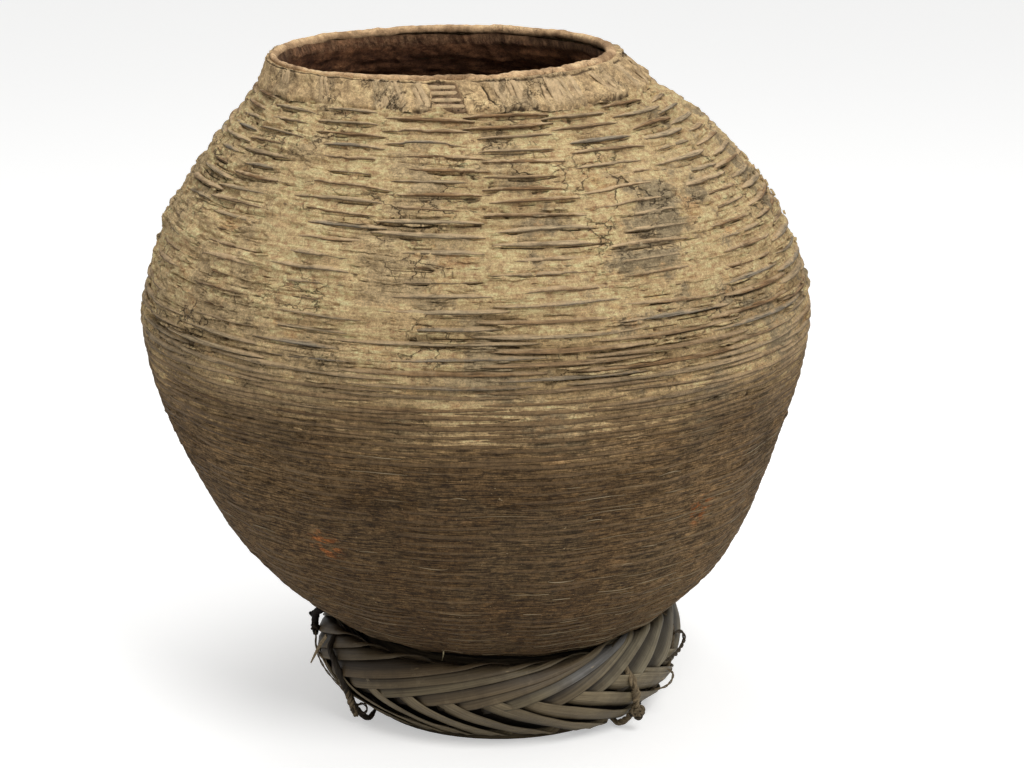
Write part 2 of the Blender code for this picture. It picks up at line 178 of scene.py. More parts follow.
# %% [markdown]
# No old basket is quite round. This one leans to the right at its foot and to the left at its
# mouth, and its left shoulder has sunk in a little. Both could be pressed into the finished meshes
# with a lattice, but then every piece would need one. Built into the one function that finds
# places on the wall, they shape the clay, the wefts and the collar all at once.

# %% Find any point on the wall
FRONT = -math.pi / 2
LEFT_SINK = 0.0038                     # how far the left shoulder has sunk in
LEFT_SUNK_PLACE = (-92, 0.125, 38, 0.055)


def lean(height):
    """How far the middle of the basket lies to +X at this height."""
    above = np.clip((height - BELLY_Z) / SHOULDER_HEIGHT, 0, None)
    below = np.clip((BELLY_Z - height) / BELLY_HEIGHT, 0, 1)
    return FOOT_SHIFT * below ** 2 - RIM_SHIFT * above ** 4


def degrees_from_front(turn):
    return np.degrees(np.mod(turn - FRONT + math.pi, 2 * math.pi) - math.pi)


def mound(turn, way, aim, level, half, tall):
    """1 at the degrees from the front aim and the way level, falling off to both sides over half and tall."""
    return np.exp(-((degrees_from_front(turn) - aim) / half) ** 2 - ((way - level) / tall) ** 2)


def wall(turn, way, lift):
    """Places on the wall by turn, way down from the collar's top, and lift off the surface."""
    turn, way, lift = np.broadcast_arrays(turn, way, lift)
    lift = lift - LEFT_SINK * mound(turn, way, *LEFT_SUNK_PLACE)
    radius = np.interp(way, WAYS, CURVE[:, 0])
    height = np.interp(way, WAYS, CURVE[:, 1])
    out_radius = -np.interp(way, WAYS, SLOPES[:, 1])
    out_height = np.interp(way, WAYS, SLOPES[:, 0])
    reach = radius + lift * out_radius
    middle = lean(height)
    return np.stack([middle + reach * np.cos(turn), reach * np.sin(turn), height + lift * out_height], -1)


print("the front of the belly is at", np.round(wall(FRONT, BELLY_WAY, 0), 3))

# %% [markdown]
# Two helpers do most of the making. The first is noise: a field of smooth random values, made by
# laying a lattice of random numbers over the wall and blending between the four nearest. The
# lattice closes on itself round the basket, so the noise has no seam. Its cells can be long and
# low, which suits a basket, where everything runs in rows. Each further layer adds detail half
# the size. A second, narrower noise runs along a line, for the path of each weft.

# %% Make noise for the wall
NOISE_RADIUS = 0.2
LATTICE_ROWS = 997
LATTICE_SHIFT = 1.7          # each seed's lattice starts this many rows further down
LINE_VALUES = 8192


def wrap_noise(turn, way, along, down, seed, layers=1):
    """Smooth noise from -1 to 1, with features this long round the wall and this tall down it."""
    turn, way = np.broadcast_arrays(turn, way)
    total = 0
    for layer in range(layers):
        around = max(3, round(2 * math.pi * NOISE_RADIUS / along * 2 ** layer))
        table = np.random.default_rng([seed, layer]).uniform(-1, 1, (LATTICE_ROWS, around))
        across = turn / (2 * math.pi) * around
        below = way / down * 2 ** layer + seed * LATTICE_SHIFT
        column, row = np.floor(across), np.floor(below)
        right, under = soft(across - column), soft(below - row)
        column, row = column.astype(int) % around, row.astype(int) % LATTICE_ROWS
        next_column, next_row = (column + 1) % around, (row + 1) % LATTICE_ROWS
        above = between(table[row, column], table[row, next_column], right)
        beneath = between(table[next_row, column], table[next_row, next_column], right)
        total = total + between(above, beneath, under) / 2 ** layer
    return total


def line_noise(along, size, seed):
    """Smooth noise from -1 to 1 along a line, with features of this size."""
    table = np.random.default_rng(seed).uniform(-1, 1, LINE_VALUES)
    place = np.asarray(along) / size
    cell = np.floor(place)
    share = soft(place - cell)
    cell = cell.astype(int)
    return between(table[cell % LINE_VALUES], table[(cell + 1) % LINE_VALUES], share)


print("noise at the front", np.round(wrap_noise(FRONT, np.linspace(0, 0.05, 4), 0.01, 0.01, 1), 2))

# %% [markdown]
# The second helper turns a grid of points into a mesh. It takes many grids at once, so that a
# thousand strips cost no more lines than one. Numbers can be stored on the points under a name,
# such as how deep a recess is and how much painted shade it gets, and the finish reads them
# later. Each corner also gets a place on a flat picture of the piece, its UV map, so that a finish
# can run along a strip.

# %% Make meshes from grids of points
def make_piece(name, grid, finish, uv=None, wrap=False, capped=False, values=None, flip=False):
    """A mesh from grids of points with the shape (grids, rows, columns, 3).

    With wrap the last column joins the first, and capped closes both ends, which makes tubes.
    uv has one more column than the points where the grid wraps. values are named point numbers.
    """
    count, rows, columns, _ = grid.shape
    index = np.arange(count * rows * columns).reshape(count, rows, columns)
    across = np.concatenate([index, index[:, :, :1]], axis=2) if wrap else index
    turned = -1 if flip else 1
    quads = np.stack([across[:, :-1, :-1], across[:, 1:, :-1], across[:, 1:, 1:], across[:, :-1, 1:]], -1)
    corners = [quads[..., ::turned].reshape(-1)]
    sizes = [np.full(quads.size // 4, 4)]
    if capped:
        corners += [index[:, 0, ::turned].reshape(-1), index[:, -1, ::-turned].reshape(-1)]
        sizes += [np.full(count, columns)] * 2
    corners = np.concatenate(corners).astype(np.int32)
    sizes = np.concatenate(sizes).astype(np.int32)
    mesh = bpy.data.meshes.new(name)
    mesh.vertices.add(index.size)
    mesh.vertices.foreach_set("co", grid.astype(np.float32).ravel())
    mesh.loops.add(len(corners))
    mesh.loops.foreach_set("vertex_index", corners)
    mesh.polygons.add(len(sizes))
    mesh.polygons.foreach_set("loop_start", (np.cumsum(sizes) - sizes).astype(np.int32))
    mesh.update(calc_edges=True)
    if uv is not None:
        flat = np.stack([uv[:, :-1, :-1], uv[:, 1:, :-1], uv[:, 1:, 1:], uv[:, :-1, 1:]], -2)
        flat = [flat[..., ::turned, :].reshape(-1, 2)]
        if capped:
            first_end, last_end = uv[:, 0, :columns], uv[:, -1, :columns]
            flat += [first_end[:, ::turned].reshape(-1, 2), last_end[:, ::-turned].reshape(-1, 2)]
        layer = mesh.uv_layers.new(name="UVMap")
        layer.data.foreach_set("uv", np.concatenate(flat).astype(np.float32).ravel())
    for label, numbers in (values or {}).items():
        attribute = mesh.attributes.new(label, "FLOAT", "POINT")
        attribute.data.foreach_set("value", np.broadcast_to(numbers, index.shape).astype(np.float32).ravel())
    mesh.shade_smooth()
    mesh.materials.append(finish)
    piece = bpy.data.objects.new(name, mesh)
    bpy.context.collection.objects.link(piece)
    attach(piece, "root")
    print(f"{name}: {len(sizes)} faces")
    return piece

# %% [markdown]
# Most pieces are one of two kinds of grid: a ring that goes once round the basket, or a bundle of
# strands that run along lines. These helpers space the angles, lay out the UV map, and wrap a
# strand's round or flat section about its line.

# %% Make the grids for rings and strands
def circle(count, extra=0):
    """Even angles for this many steps round a circle, with extra ones to close it."""
    return np.arange(count + extra) * 2 * math.pi / count


def closed(numbers):
    """One ring's numbers as a single grid, without the last column, where the ring meets itself."""
    return numbers[None, :, :-1]


def lay_out(along, across, shape):
    """A UV map from a number along each grid and one across it."""
    return np.stack([np.broadcast_to(along, shape), np.broadcast_to(across, shape)], -1)


def boxy(wave, power):
    """A cosine or sine with flatter tops, which turns a round section into a rounded box."""
    return np.sign(wave) * np.abs(wave) ** power / 2


def tubes(lines, wide, thick, sides, level):
    """Grids for strands along these lines. level is the direction that their width lies in."""
    run = unit(np.gradient(lines, axis=1))
    level = unit(level - run * np.sum(level * run, -1, keepdims=True))
    upright = np.cross(run, level)
    angle = circle(sides)
    wide = np.broadcast_to(wide, lines.shape[:2])[..., None, None] / 2
    thick = np.broadcast_to(thick, lines.shape[:2])[..., None, None] / 2
    sideways = wide * np.cos(angle)[:, None] * level[:, :, None]
    return lines[:, :, None] + sideways + thick * np.sin(angle)[:, None] * upright[:, :, None]


print("four sides stand at", np.round(np.degrees(circle(4, 1))), "degrees")

# %% [markdown]
# A finish in Blender is a small graph of nodes. These helpers keep each graph short to write: one
# starts it, and the others add to it until the next one is started. One adds a node and fills its
# sockets, one blends two colours, one turns a number from one range to another, and one lays down
# noise. Colours are written as they look on a screen, from 0 to 255, and turned into the linear
# values that Blender works in.

# %% Helpers for finishes
SHEEN = 0.25                 # dry clay and old bamboo hardly shine


def colour(red, green, blue_and_painted_sheen):
    def linear(value):
        share = value / 255
        return share / 12.92 if share <= 0.04045 else ((share + 0.055) / 1.055) ** 2.4
    return (linear(red), linear(green), linear(blue_and_painted_sheen), 1)


tree = None                  # the graph that is being drawn, which the helpers below add to


def plug(socket, value):
    """Link another node's output to a socket, or set the socket to a plain value."""
    if isinstance(value, bpy.types.NodeSocket):
        tree.links.new(value, socket)
    else:
        socket.default_value = value


def node(kind, inputs=None, **settings):
    made = tree.nodes.new("ShaderNode" + kind)
    for key, value in settings.items():
        setattr(made, key, value)
    for key, value in (inputs or {}).items():
        plug(made.inputs[key], value)
    return made


def start_finish(name, roughness):
    """A new material, whose graph the helpers add to until the next one is started."""
    global tree
    material = bpy.data.materials.new(name)
    material.use_nodes = True
    tree = material.node_tree
    plug(tree.nodes["Principled BSDF"].inputs["Roughness"], roughness)
    plug(tree.nodes["Principled BSDF"].inputs["Specular IOR Level"], SHEEN)
    return material


def end_finish(material, shade, height=None, distance=0.0):
    """Give a material its colour, and raise its surface by a height from 0 to 1 times the distance."""
    shader = tree.nodes["Principled BSDF"]
    plug(shader.inputs["Base Color"], shade)
    if height is not None:
        bump = node("Bump", {"Height": height, "Strength": 1.0, "Distance": distance})
        plug(shader.inputs["Normal"], bump.outputs["Normal"])
    print(f"finish {material.name}: {len(tree.nodes)} nodes")
    return material


print("a middle grey in linear light is", round(colour(128, 128, 128)[0], 3))

# %% Helpers for colours and numbers in a finish
def blend(amount, first, second, mode="MIX"):
    """The first colour, turned into the second by the amount."""
    mix = node("Mix", {0: amount, 6: first, 7: second}, data_type="RGBA", blend_type=mode)
    return mix.outputs[2]


def reach(value, low, high, start=0.0, end=1.0):
    """The value's range from low to high, turned into start to end with a smooth step."""
    made = node("MapRange", {"Value": value, "From Min": low, "From Max": high,
                                   "To Min": start, "To Max": end}, interpolation_type="SMOOTHSTEP")
    return made.outputs["Result"]


def fade(share, start, end):
    """From start where the share is 0 to end where it is 1."""
    return reach(share, 0.0, 1.0, start, end)


def maths(operation, first, second=0.0):
    return node("Math", {0: first, 1: second}, operation=operation).outputs[0]


def times(first, second):
    return maths("MULTIPLY", first, second)


def plus(first, second):
    return maths("ADD", first, second)


def in_space():
    return node("TexCoord").outputs["Object"]


def on_surface():
    return node("UVMap").outputs["UV"]


def number(label):
    return node("Attribute", attribute_name=label).outputs["Fac"]


def stretched(places, scale):
    return node("Mapping", {"Vector": places, "Scale": scale}).outputs["Vector"]


def spots(places, scale, detail=3.0, roughness=0.5):
    """Noise from 0 to 1 over these places."""
    return node("TexNoise", {"Vector": places, "Scale": scale, "Detail": detail,
                                   "Roughness": roughness}).outputs["Fac"]


def drawn_out(places, along, across, detail=3.0, roughness=0.5):
    """Noise from 0 to 1 on a UV map, with this many features to each unit along and across it."""
    return spots(stretched(places, (along, across, 1.0)), 1.0, detail, roughness)


print("helpers:", [helper.__name__ for helper in (blend, reach, fade, times, plus, spots, drawn_out)])

# %% [markdown]
# The clay is ochre and dusty on the shoulder, where light and hands reach it, and turns dark
# brown below the belly, where smoke and grease have soaked in. One helper gives that change of
# colour by height, broken up with noise so that the edge wanders. The clay and the wefts both use
# it, so they age together. Its shift lets thick clay stay bright a little further down the wall
# than the bare wefts beside it, and that makes the streaks of the belly.
# Toward the sides, and more on the right, the helper also lightens the lower wall: that is painted light.

# %% Colour by height
OCHRE = colour(186, 162, 127)
TAN = colour(168, 145, 112)
BROWN = colour(122, 101, 73)
SMOKED = colour(82, 64, 42)
# Dark brown for stains and cracks, and also the painted shade in crevices and under floats, ledges and lip
SOOT_AND_PAINTED_SHADE = colour(50, 34, 21)
GREY_GREEN = colour(132, 123, 104)
GREY_BROWN = colour(88, 74, 54)
PALE = colour(206, 180, 138)
AGING_SHARES = ((0.33, SMOKED), (0.55, BROWN), (0.68, TAN))
SMOKED_Z = 0.10              # all smoked below this height, and all ochre above the next
OCHRE_Z = 0.42
EDGE_WANDER = 0.07


def aged(places, shift=0.0):
    """Ochre above, brown below, with an edge that wanders. shift moves the colours down the wall."""
    place = node("SeparateXYZ", {"Vector": places}).outputs
    wandering = times(spots(places, 9.0, 5.0, 0.65), EDGE_WANDER)
    stray = plus(maths("SUBTRACT", shift, wandering), EDGE_WANDER / 2)
    stray = times(stray, reach(place["Z"], 0.22, 0.29, 0.15, 1.0))
    level = plus(place["Z"], stray)
    aside = maths("ABSOLUTE", place["X"])
    # Painted light: lighter toward the sides and darker at the front middle.
    level = plus(level, reach(aside, 0.03, 0.16, -0.007, 0.024))
    ramp = node("ValToRGB", {"Fac": reach(level, SMOKED_Z, OCHRE_Z)})
    stops = ramp.color_ramp.elements
    stops[0].position, stops[0].color = 0.0, SMOKED
    stops[1].position, stops[1].color = 1.0, OCHRE
    for position, shade in AGING_SHARES:
        stops.new(position).color = shade
    # Painted light: the lower wall is lighter at its sides, more so on the right.
    sides = times(reach(aside, 0.05, 0.17), reach(place["Z"], 0.30, 0.22))
    sides = times(sides, reach(place["X"], -0.08, 0.08, 0.50, 1.0))
    return blend(sides, ramp.outputs["Color"], BROWN)


for name, shade in (("ochre", OCHRE), ("smoked", SMOKED)):
    print(name, "is", [round(value, 3) for value in shade[:3]])

# %% [markdown]
# The weave first, as rules rather than shapes. One long weft winds round 17 staves, over one and
# under the next. Because 17 is odd, each turn passes outside the staves that the last one passed
# inside, so the floats that show stand in columns, and neighbouring columns are half a step
# apart. Counted along the spiral, every second passing shows. So a float is just an even number,
# and its length, lift, width and shade are looked up in tables by that number. The clay asks the
# same tables, so that its cracks lie under the floats that are really there.

# %% Throw the dice for the weave
STAVES = 17
STAVE_TURN = 2 * math.pi / STAVES
FIRST_STAVE = FRONT + math.radians(-6.67)
FLOAT_NUMBERS = 2800
FLOAT_SHIFT = 0.09           # in columns
FLOAT_STRAY = 0.0005         # how far a float tilts and bows

dice = np.random.default_rng(17)
float_length = dice.uniform(0, 1, FLOAT_NUMBERS)
float_shift = dice.uniform(-FLOAT_SHIFT, FLOAT_SHIFT, FLOAT_NUMBERS)
float_open = np.clip(dice.uniform(-0.10, 1.40, FLOAT_NUMBERS), 0, 1)
float_wide = dice.uniform(0, 1, FLOAT_NUMBERS)
float_tilt = dice.normal(0, FLOAT_STRAY, FLOAT_NUMBERS)
float_bow = dice.normal(0, FLOAT_STRAY, FLOAT_NUMBERS)
brick_open = dice.uniform(0, 1, FLOAT_NUMBERS)
print(f"{np.mean(float_open == 1):.0%} of the floats have an open crevice under them")

# %% Find the rows of the weave
UPPER_PITCH = 0.0051
LOWER_PITCH = 0.0034
FLOATS_START = COLLAR_HEIGHT + 0.0045
FLOATS_END = SEAT_WAY + 0.010
FINE_STEPS = 3000


def coarse(way):
    """1 on the shoulder, 0 in the fine lower wall."""
    return 1 - ease(way, BELLY_WAY - 0.040, BELLY_WAY + 0.024)


def waist(way):
    """1 where the wefts change from coarse to fine, 0 away from there."""
    return ease(way, BELLY_WAY - 0.065, BELLY_WAY - 0.015) * ease(way, BELLY_WAY + 0.070, BELLY_WAY + 0.025)


def pitch(way):
    """The distance from one row to the next."""
    return between(LOWER_PITCH, UPPER_PITCH, coarse(way))


fine_ways = np.linspace(-COLLAR_REACH, POLE_WAY, FINE_STEPS)
fine_rows = np.concatenate([[0], np.cumsum(np.diff(fine_ways) / pitch(fine_ways)[1:])])


def row_at(way):
    return np.interp(way, fine_ways, fine_rows)


def way_of(row):
    return np.interp(row, fine_rows, fine_ways)


print(f"{row_at(SEAT_WAY) - row_at(FLOATS_START):.0f} rows from the collar to the foot")

# %% Rules for a float's path and width
WEFT_WANDER = 0.0008
UPPER_HALVES = (0.44, 0.58)            # half the length of a float in columns, from the least to the most
WAIST_HALVES = (0.55, 1.00)
LOWER_HALVES = (0.45, 0.70)
UPPER_WIDTH = (0.0034, 0.0048)
WAIST_WIDTH = (0.0026, 0.0036)
LOWER_WIDTH = (0.0024, 0.0040)


def wander(spiral):
    """How far the weft strays down from its even path at this angle along the spiral."""
    return WEFT_WANDER * line_noise(spiral, 0.30, 41) + WEFT_WANDER * line_noise(spiral, 1.1, 42)


def float_half(number, way):
    """Half the length of a float, in columns."""
    chance = float_length[number % FLOAT_NUMBERS]
    half = between(between(*LOWER_HALVES, chance), between(*UPPER_HALVES, chance), coarse(way))
    return between(half, between(*WAIST_HALVES, chance), waist(way))


def float_bend(number, along):
    """How far a float bends down from its row at this place, as its ends are pulled up or down."""
    return float_tilt[number % FLOAT_NUMBERS] * along + float_bow[number % FLOAT_NUMBERS] * along ** 2


def float_width(number, way):
    """Width of a float: broad on the shoulder, narrower where the wefts get fine."""
    chance = float_wide[number % FLOAT_NUMBERS]
    width = between(between(*LOWER_WIDTH, chance), between(*UPPER_WIDTH, chance), coarse(way))
    return between(width, between(*WAIST_WIDTH, chance), waist(way))


def weave_at(turn, way, above=0.0):
    """The nearest weft passing, the distance below it in rows, and the place along its float from -1 to 1.

    With above at 0.5 it is the passing just above this place, even when the next one down is nearer.
    """
    around = turn - FIRST_STAVE
    spiral = around + 2 * math.pi * np.round(row_at(way) - around / (2 * math.pi) - above)
    offset = row_at(way - wander(spiral)) - spiral / (2 * math.pi)
    passing = spiral / STAVE_TURN
    number = (2 * np.round(passing / 2)).astype(int)
    along = (passing - number - float_shift[number % FLOAT_NUMBERS]) / float_half(number, way)
    offset = offset - float_bend(number, np.clip(along, -1, 1)) / pitch(way)
    return passing, number, offset, along


print("the passing nearest to the front of the belly is number", weave_at(FRONT, BELLY_WAY)[1])

# %% [markdown]
# The clay is not spread evenly. In some patches it hides the wefts, in others it has gone, and
# just above the belly it lies in streaks along the rows. Painting that by hand would be slow and
# would not line up with the geometry. So a function says how much clay is left at every place,
# from noise with a few thick patches set where the real coat has them, and every piece and finish
# of the wall asks it.

# %% Say how much clay is left
# Each field of noise: how long and how tall its features are, its seed, and its layers
CLAY_FIELDS = {"patches": (0.090, 0.055, 3, 3), "streaks": (0.060, 0.007, 5, 3), "swell": (0.11, 0.08, 12, 2),
               "ragged": (0.012, 0.0040, 25, 2), "joints": (0.040, 0.004, 26), "pits": (0.006, 0.0035, 27, 2),
               "flakes": (0.032, 0.0055, 31, 3), "flake edges": (0.020, 0.010, 33, 2),
               "lumps": (0.011, 0.0055, 35, 3), "grains": (0.0034, 0.0020, 37),
               "fibres": (0.050, 0.0020, 39, 2), "smears": (0.022, 0.0075, 40, 3)}
# Where the real coat is thickest: degrees from the front, way, the reach of both, and how much
THICK_PATCHES = ((-78, 0.10, 24, 0.07, 0.25), (-59, 0.17, 6, 0.022, 0.50), (-35, 0.11, 4.5, 0.060, 0.45),
                 (19, 0.075, 5, 0.020, 0.50), (25, 0.125, 6, 0.030, 0.40), (55, 0.120, 12, 0.050, 0.25))
CLAY_COVER = 0.46
CLAY_PATCHINESS = 0.62
STREAKINESS = (0.20, 0.50)             # away from the waist, and at it
THINNER_TOP = 0.15                     # less clay close under the collar


def clay_field(name, turn, way):
    return wrap_noise(turn, way, *CLAY_FIELDS[name])


def clay_fill(turn, way):
    """How much clay covers the weave here: 1 hides it, 0 leaves it bare."""
    amount = CLAY_COVER + CLAY_PATCHINESS * clay_field("patches", turn, way)
    amount = amount + between(*STREAKINESS, waist(way)) * clay_field("streaks", turn, way)
    for *place, more in THICK_PATCHES:
        amount = amount + more * mound(turn, way, *place)
    return np.clip(amount - THINNER_TOP * ease(way, 0.075, 0.040), 0, 1)


print("clay left round the belly", np.round(clay_fill(circle(6), BELLY_WAY), 2))

# %% [markdown]
# The clay coat could be a smooth shell with a bump map, but its edge against the background and
# its shadows would stay too clean. Here it is a dense grid of points on the wall, each moved in or
# out by a height field: patches where the daub is thick, pits where it has fallen out, ragged
# steps where it has flaked in layers, and a torn crevice under each float. Where the weft passes
# inside a stave the daub can stay as a flat block between two floats, bright and brick-like. The
# grid is cut into bands so that no single mesh grows too heavy.
# In the finish, the crevices and the flake edges are also darkened, as painted shade.

# %% Tear, break and flake the clay
CREVICE_GAP = 0.0003         # how far under a float's edge its crevice lies
BRICK_CHANCE = 0.74          # a place between floats holds a brick when its dice are above this


def crevices(turn, way, fill):
    """Torn gaps in the clay under the floats, from 0 to 1."""
    _, over, below, reached = weave_at(turn, way, 0.5)
    ragged = clay_field("ragged", turn, way)
    opened = float_open[over % FLOAT_NUMBERS] * between(1, 0.12, ease(fill, 0.60, 0.95))
    edge = (float_width(over, way) / 2 * (1 - 0.4 * np.abs(reached) ** 3) + CREVICE_GAP) / UPPER_PITCH
    crevice = peak(below, edge, 0.085 + 0.045 * ragged) * ease(np.abs(reached), 1.02, 0.80)
    return crevice * ease(ragged, -0.70, -0.20) * opened


def bricks(passing, offset, upper, fill):
    """Flat blocks of daub between two floats, and the open joints along them."""
    odd = np.round((passing - 1) / 2) * 2 + 1
    beside_stave = np.abs(passing - odd)
    kept = (brick_open[odd.astype(int) % FLOAT_NUMBERS] > BRICK_CHANCE) * upper * ease(fill, 1.0, 0.75)
    brick = kept * ease(beside_stave, 0.30, 0.26) * ease(np.abs(offset), 0.42, 0.36)
    return brick, kept * ease(beside_stave, 0.36, 0.30) * peak(np.abs(offset), 0.46, 0.055)


def flaking(turn, way):
    """Steps where the clay has come off in layers, and the painted shade along their edges."""
    flakes = clay_field("flakes", turn, way)
    steps = ease(flakes, -0.06, 0.02) + ease(flakes, 0.38, 0.44)
    edge = peak(flakes, -0.06, 0.030) + peak(flakes, 0.38, 0.030)
    return steps, edge * ease(clay_field("flake edges", turn, way), 0.0, 0.5)


print("steps of flaking at the front", np.round(flaking(FRONT, np.linspace(0.05, 0.15, 6))[0], 1))

# %% Shape the clay coat
BARE_LEVEL = -0.0018
THICK_LEVEL = 0.0006
CREVICE_DEPTH = 0.0024
FLAKE_STEP = 0.0005
SMEAR_HEIGHT = 0.0015        # how thick the daub is that is smeared over the floats
SWELL_HEIGHT = 0.0011
THICKEST_MORE = 0.0006       # the very thickest clay stands out this much further
RELIEF_HEIGHT = 0.0006       # how far the clay rises over a float that it hides
LUMP_HEIGHT = 0.00045
BRICK_HEIGHT = 0.0003
GRAIN_HEIGHT = 0.00012
LOBE = 0.0005                # how far the lower wall swells over each stave
LOW_LEVEL = -0.0006
LOW_HEIGHTS = (0.0002, 0.00015, 0.00022)    # relief, lumps and fibres on the lower wall


def swell_at(turn, way):
    return SWELL_HEIGHT * clay_field("swell", turn, way)


def clay_level(turn, way):
    """Lift of the clay off the wall, with how much fills the weave, its recesses and their painted shade, and
    its bricks.
    """
    fill = clay_fill(turn, way)
    passing, _, offset, along = weave_at(turn, way)
    upper = coarse(way)
    brick, mortar = bricks(passing, offset, upper, fill)
    joint = peak(np.abs(offset), 0.47, 0.05) * ease(clay_field("joints", turn, way), 0.15, 0.45)
    pits = ease(clay_field("pits", turn, way), 0.62, 0.80) * ease(fill, 0.45, 0.15)
    steps, flake_edge = flaking(turn, way)
    lumps = clay_field("lumps", turn, way)
    smear = ease(clay_field("smears", turn, way) + 0.5 * fill, 0.30, 0.42)
    relief = np.cos(math.pi * offset) ** 2 * ease(np.abs(along), 1.04, 0.80)

    high = (between(BARE_LEVEL, THICK_LEVEL, fill) + THICKEST_MORE * ease(fill, 0.78, 1)
            + RELIEF_HEIGHT * relief + FLAKE_STEP * (steps * fill - 1) + LUMP_HEIGHT * lumps
            + BRICK_HEIGHT * brick + SMEAR_HEIGHT * smear)
    lobe = LOBE * np.cos(STAVES * (turn - FIRST_STAVE)) * ease(way, POLE_WAY, SEAT_WAY)
    low_relief, low_lumps, low_fibres = LOW_HEIGHTS
    low = low_relief * relief + low_lumps * lumps + low_fibres * clay_field("fibres", turn, way)
    low = low + lobe + LOW_LEVEL
    level = between(low, high, upper) + swell_at(turn, way) + GRAIN_HEIGHT * clay_field("grains", turn, way)

    torn = np.maximum(upper, 0.85 * waist(way))
    # The recesses: crevices under the floats, flake edges, open joints and pits, cut in and painted with
    # shade.
    recess_and_painted_shade = np.clip(np.maximum(crevices(turn, way, fill), mortar) + 0.6 * joint + 0.6 * pits, 0, 1)
    recess_and_painted_shade = recess_and_painted_shade * (1 - 0.75 * smear)
    recess_and_painted_shade = np.maximum(recess_and_painted_shade * between(0.30, 1, torn), 0.55 * flake_edge * upper)
    return level - CREVICE_DEPTH * recess_and_painted_shade * between(0.4, 1, torn), fill, recess_and_painted_shade, brick


lifts = clay_level(FRONT, np.linspace(0.05, 0.15, 6))[0]
print("lift of the clay at the front in mm", np.round(1000 * lifts, 1))

# %% Mesh the clay in bands
CLAY_BANDS = 9
BAND_ROWS = 100
CLAY_COLUMNS = 960
FINE_SHARE = 0.58            # this share of the rows lies above the belly, where they are closer
FINE_END = BELLY_WAY + 0.03
COAT_START = COLLAR_HEIGHT - 0.003
COAT_END = POLE_WAY - 0.001


def clay_band(number, finish):
    share = np.linspace(0, 1, CLAY_BANDS * BAND_ROWS + 1)
    ways = np.interp(share, (0, FINE_SHARE, 1), (COAT_START, FINE_END, COAT_END))
    ways = ways[number * BAND_ROWS:(number + 1) * BAND_ROWS + 1]
    turn, way = np.meshgrid(FIRST_STAVE + math.pi + circle(CLAY_COLUMNS, 1), ways)
    level, fill, recess_and_painted_shade, brick = clay_level(turn, way)
    around = turn - FIRST_STAVE
    uv = np.stack([around / STAVE_TURN, row_at(way) - around / (2 * math.pi)], -1)[None]
    values = {"fill": closed(fill), "recess_and_painted_shade": closed(recess_and_painted_shade), "brick": closed(brick)}
    return make_piece(f"clay_coat_{number + 1}", closed(wall(turn, way, level)), finish, uv,
                      wrap=True, values=values)


print(f"the clay has {CLAY_BANDS * BAND_ROWS} rows of {CLAY_COLUMNS} points")

# %% [markdown]
# Dry clay shrinks as it ages. It cracks across the bricks, long cracks cut jagged through thick
# patches, and dust and grit settle everywhere. Cell noise gives the cracks: the distance to the
# nearest edge between cells is near zero along a network of lines. With cells far longer up and
# down than a row is tall, only the upright lines of that network cross a brick. Below the belly
# the daub is thin and greasy, so there the finish turns to fine lines that run with the wefts.

# %% Cracks, grit and scorched spots
ORANGE_SPOTS = ((0.157, -0.147, 0.190), (-0.101, -0.176, 0.174))
ORANGE_REACH = (0.018, 0.004)
GRIT_DARK = colour(130, 123, 112)
GRIT_LIGHT = colour(252, 247, 237)


def cracks(places, scale, width, wobble):
    """1 along a network of cracks, 0 elsewhere. The network bends by the wobble."""
    bend = node("TexNoise", {"Vector": places, "Scale": scale * 3.1, "Detail": 3.0}).outputs["Color"]
    bend = node("VectorMath", {0: bend, 1: (0.5, 0.5, 0.5)}, operation="SUBTRACT").outputs["Vector"]
    bend = node("VectorMath", {0: bend, "Scale": wobble}, operation="SCALE").outputs["Vector"]
    bent = node("VectorMath", {0: bend, 1: places}, operation="ADD").outputs["Vector"]
    cells = node("TexVoronoi", {"Vector": bent, "Scale": scale}, feature="DISTANCE_TO_EDGE")
    return reach(cells.outputs["Distance"], 0.0, width, 1.0, 0.0)


def grit(places, shade, amount):
    """A colour with fine light and dark grains over it, and the finest grains by themselves."""
    grains = spots(places, 800.0, 5.0, 0.8)
    coarse_grains = spots(places, 230.0, 5.0, 0.7)
    mixed = reach(plus(times(grains, 0.55), times(coarse_grains, 0.45)), 0.34, 0.66)
    return blend(amount, shade, blend(mixed, GRIT_DARK, GRIT_LIGHT), "OVERLAY"), grains


def orange_patches(places):
    """1 at the two places on the lower wall that were scorched orange."""
    near = None
    for place in ORANGE_SPOTS:
        gap = node("VectorMath", {0: places, 1: place}, operation="DISTANCE").outputs["Value"]
        close = reach(gap, *ORANGE_REACH)
        near = close if near is None else maths("MAXIMUM", near, close)
    speckle = reach(spots(stretched(places, (1.0, 1.0, 2.2)), 130.0, 3.0), 0.48, 0.62)
    return times(near, speckle)


print(len(ORANGE_SPOTS), "scorched spots, the higher one at", max(place[2] for place in ORANGE_SPOTS), "m")

# %% Colour the clay
LIGHT_DUST = colour(230, 202, 154)
FRESH_CLAY = colour(204, 162, 116)
CHIP_DARK = colour(150, 146, 140)
CHIP_LIGHT = colour(220, 221, 220)
SCORCHED = colour(164, 102, 54)
STRAND_DARK = colour(80, 78, 76)
STRAND_LIGHT = colour(250, 247, 242)
CLAY_DARK_Z = (0.350, 0.268)           # the clay's own texture changes between these heights


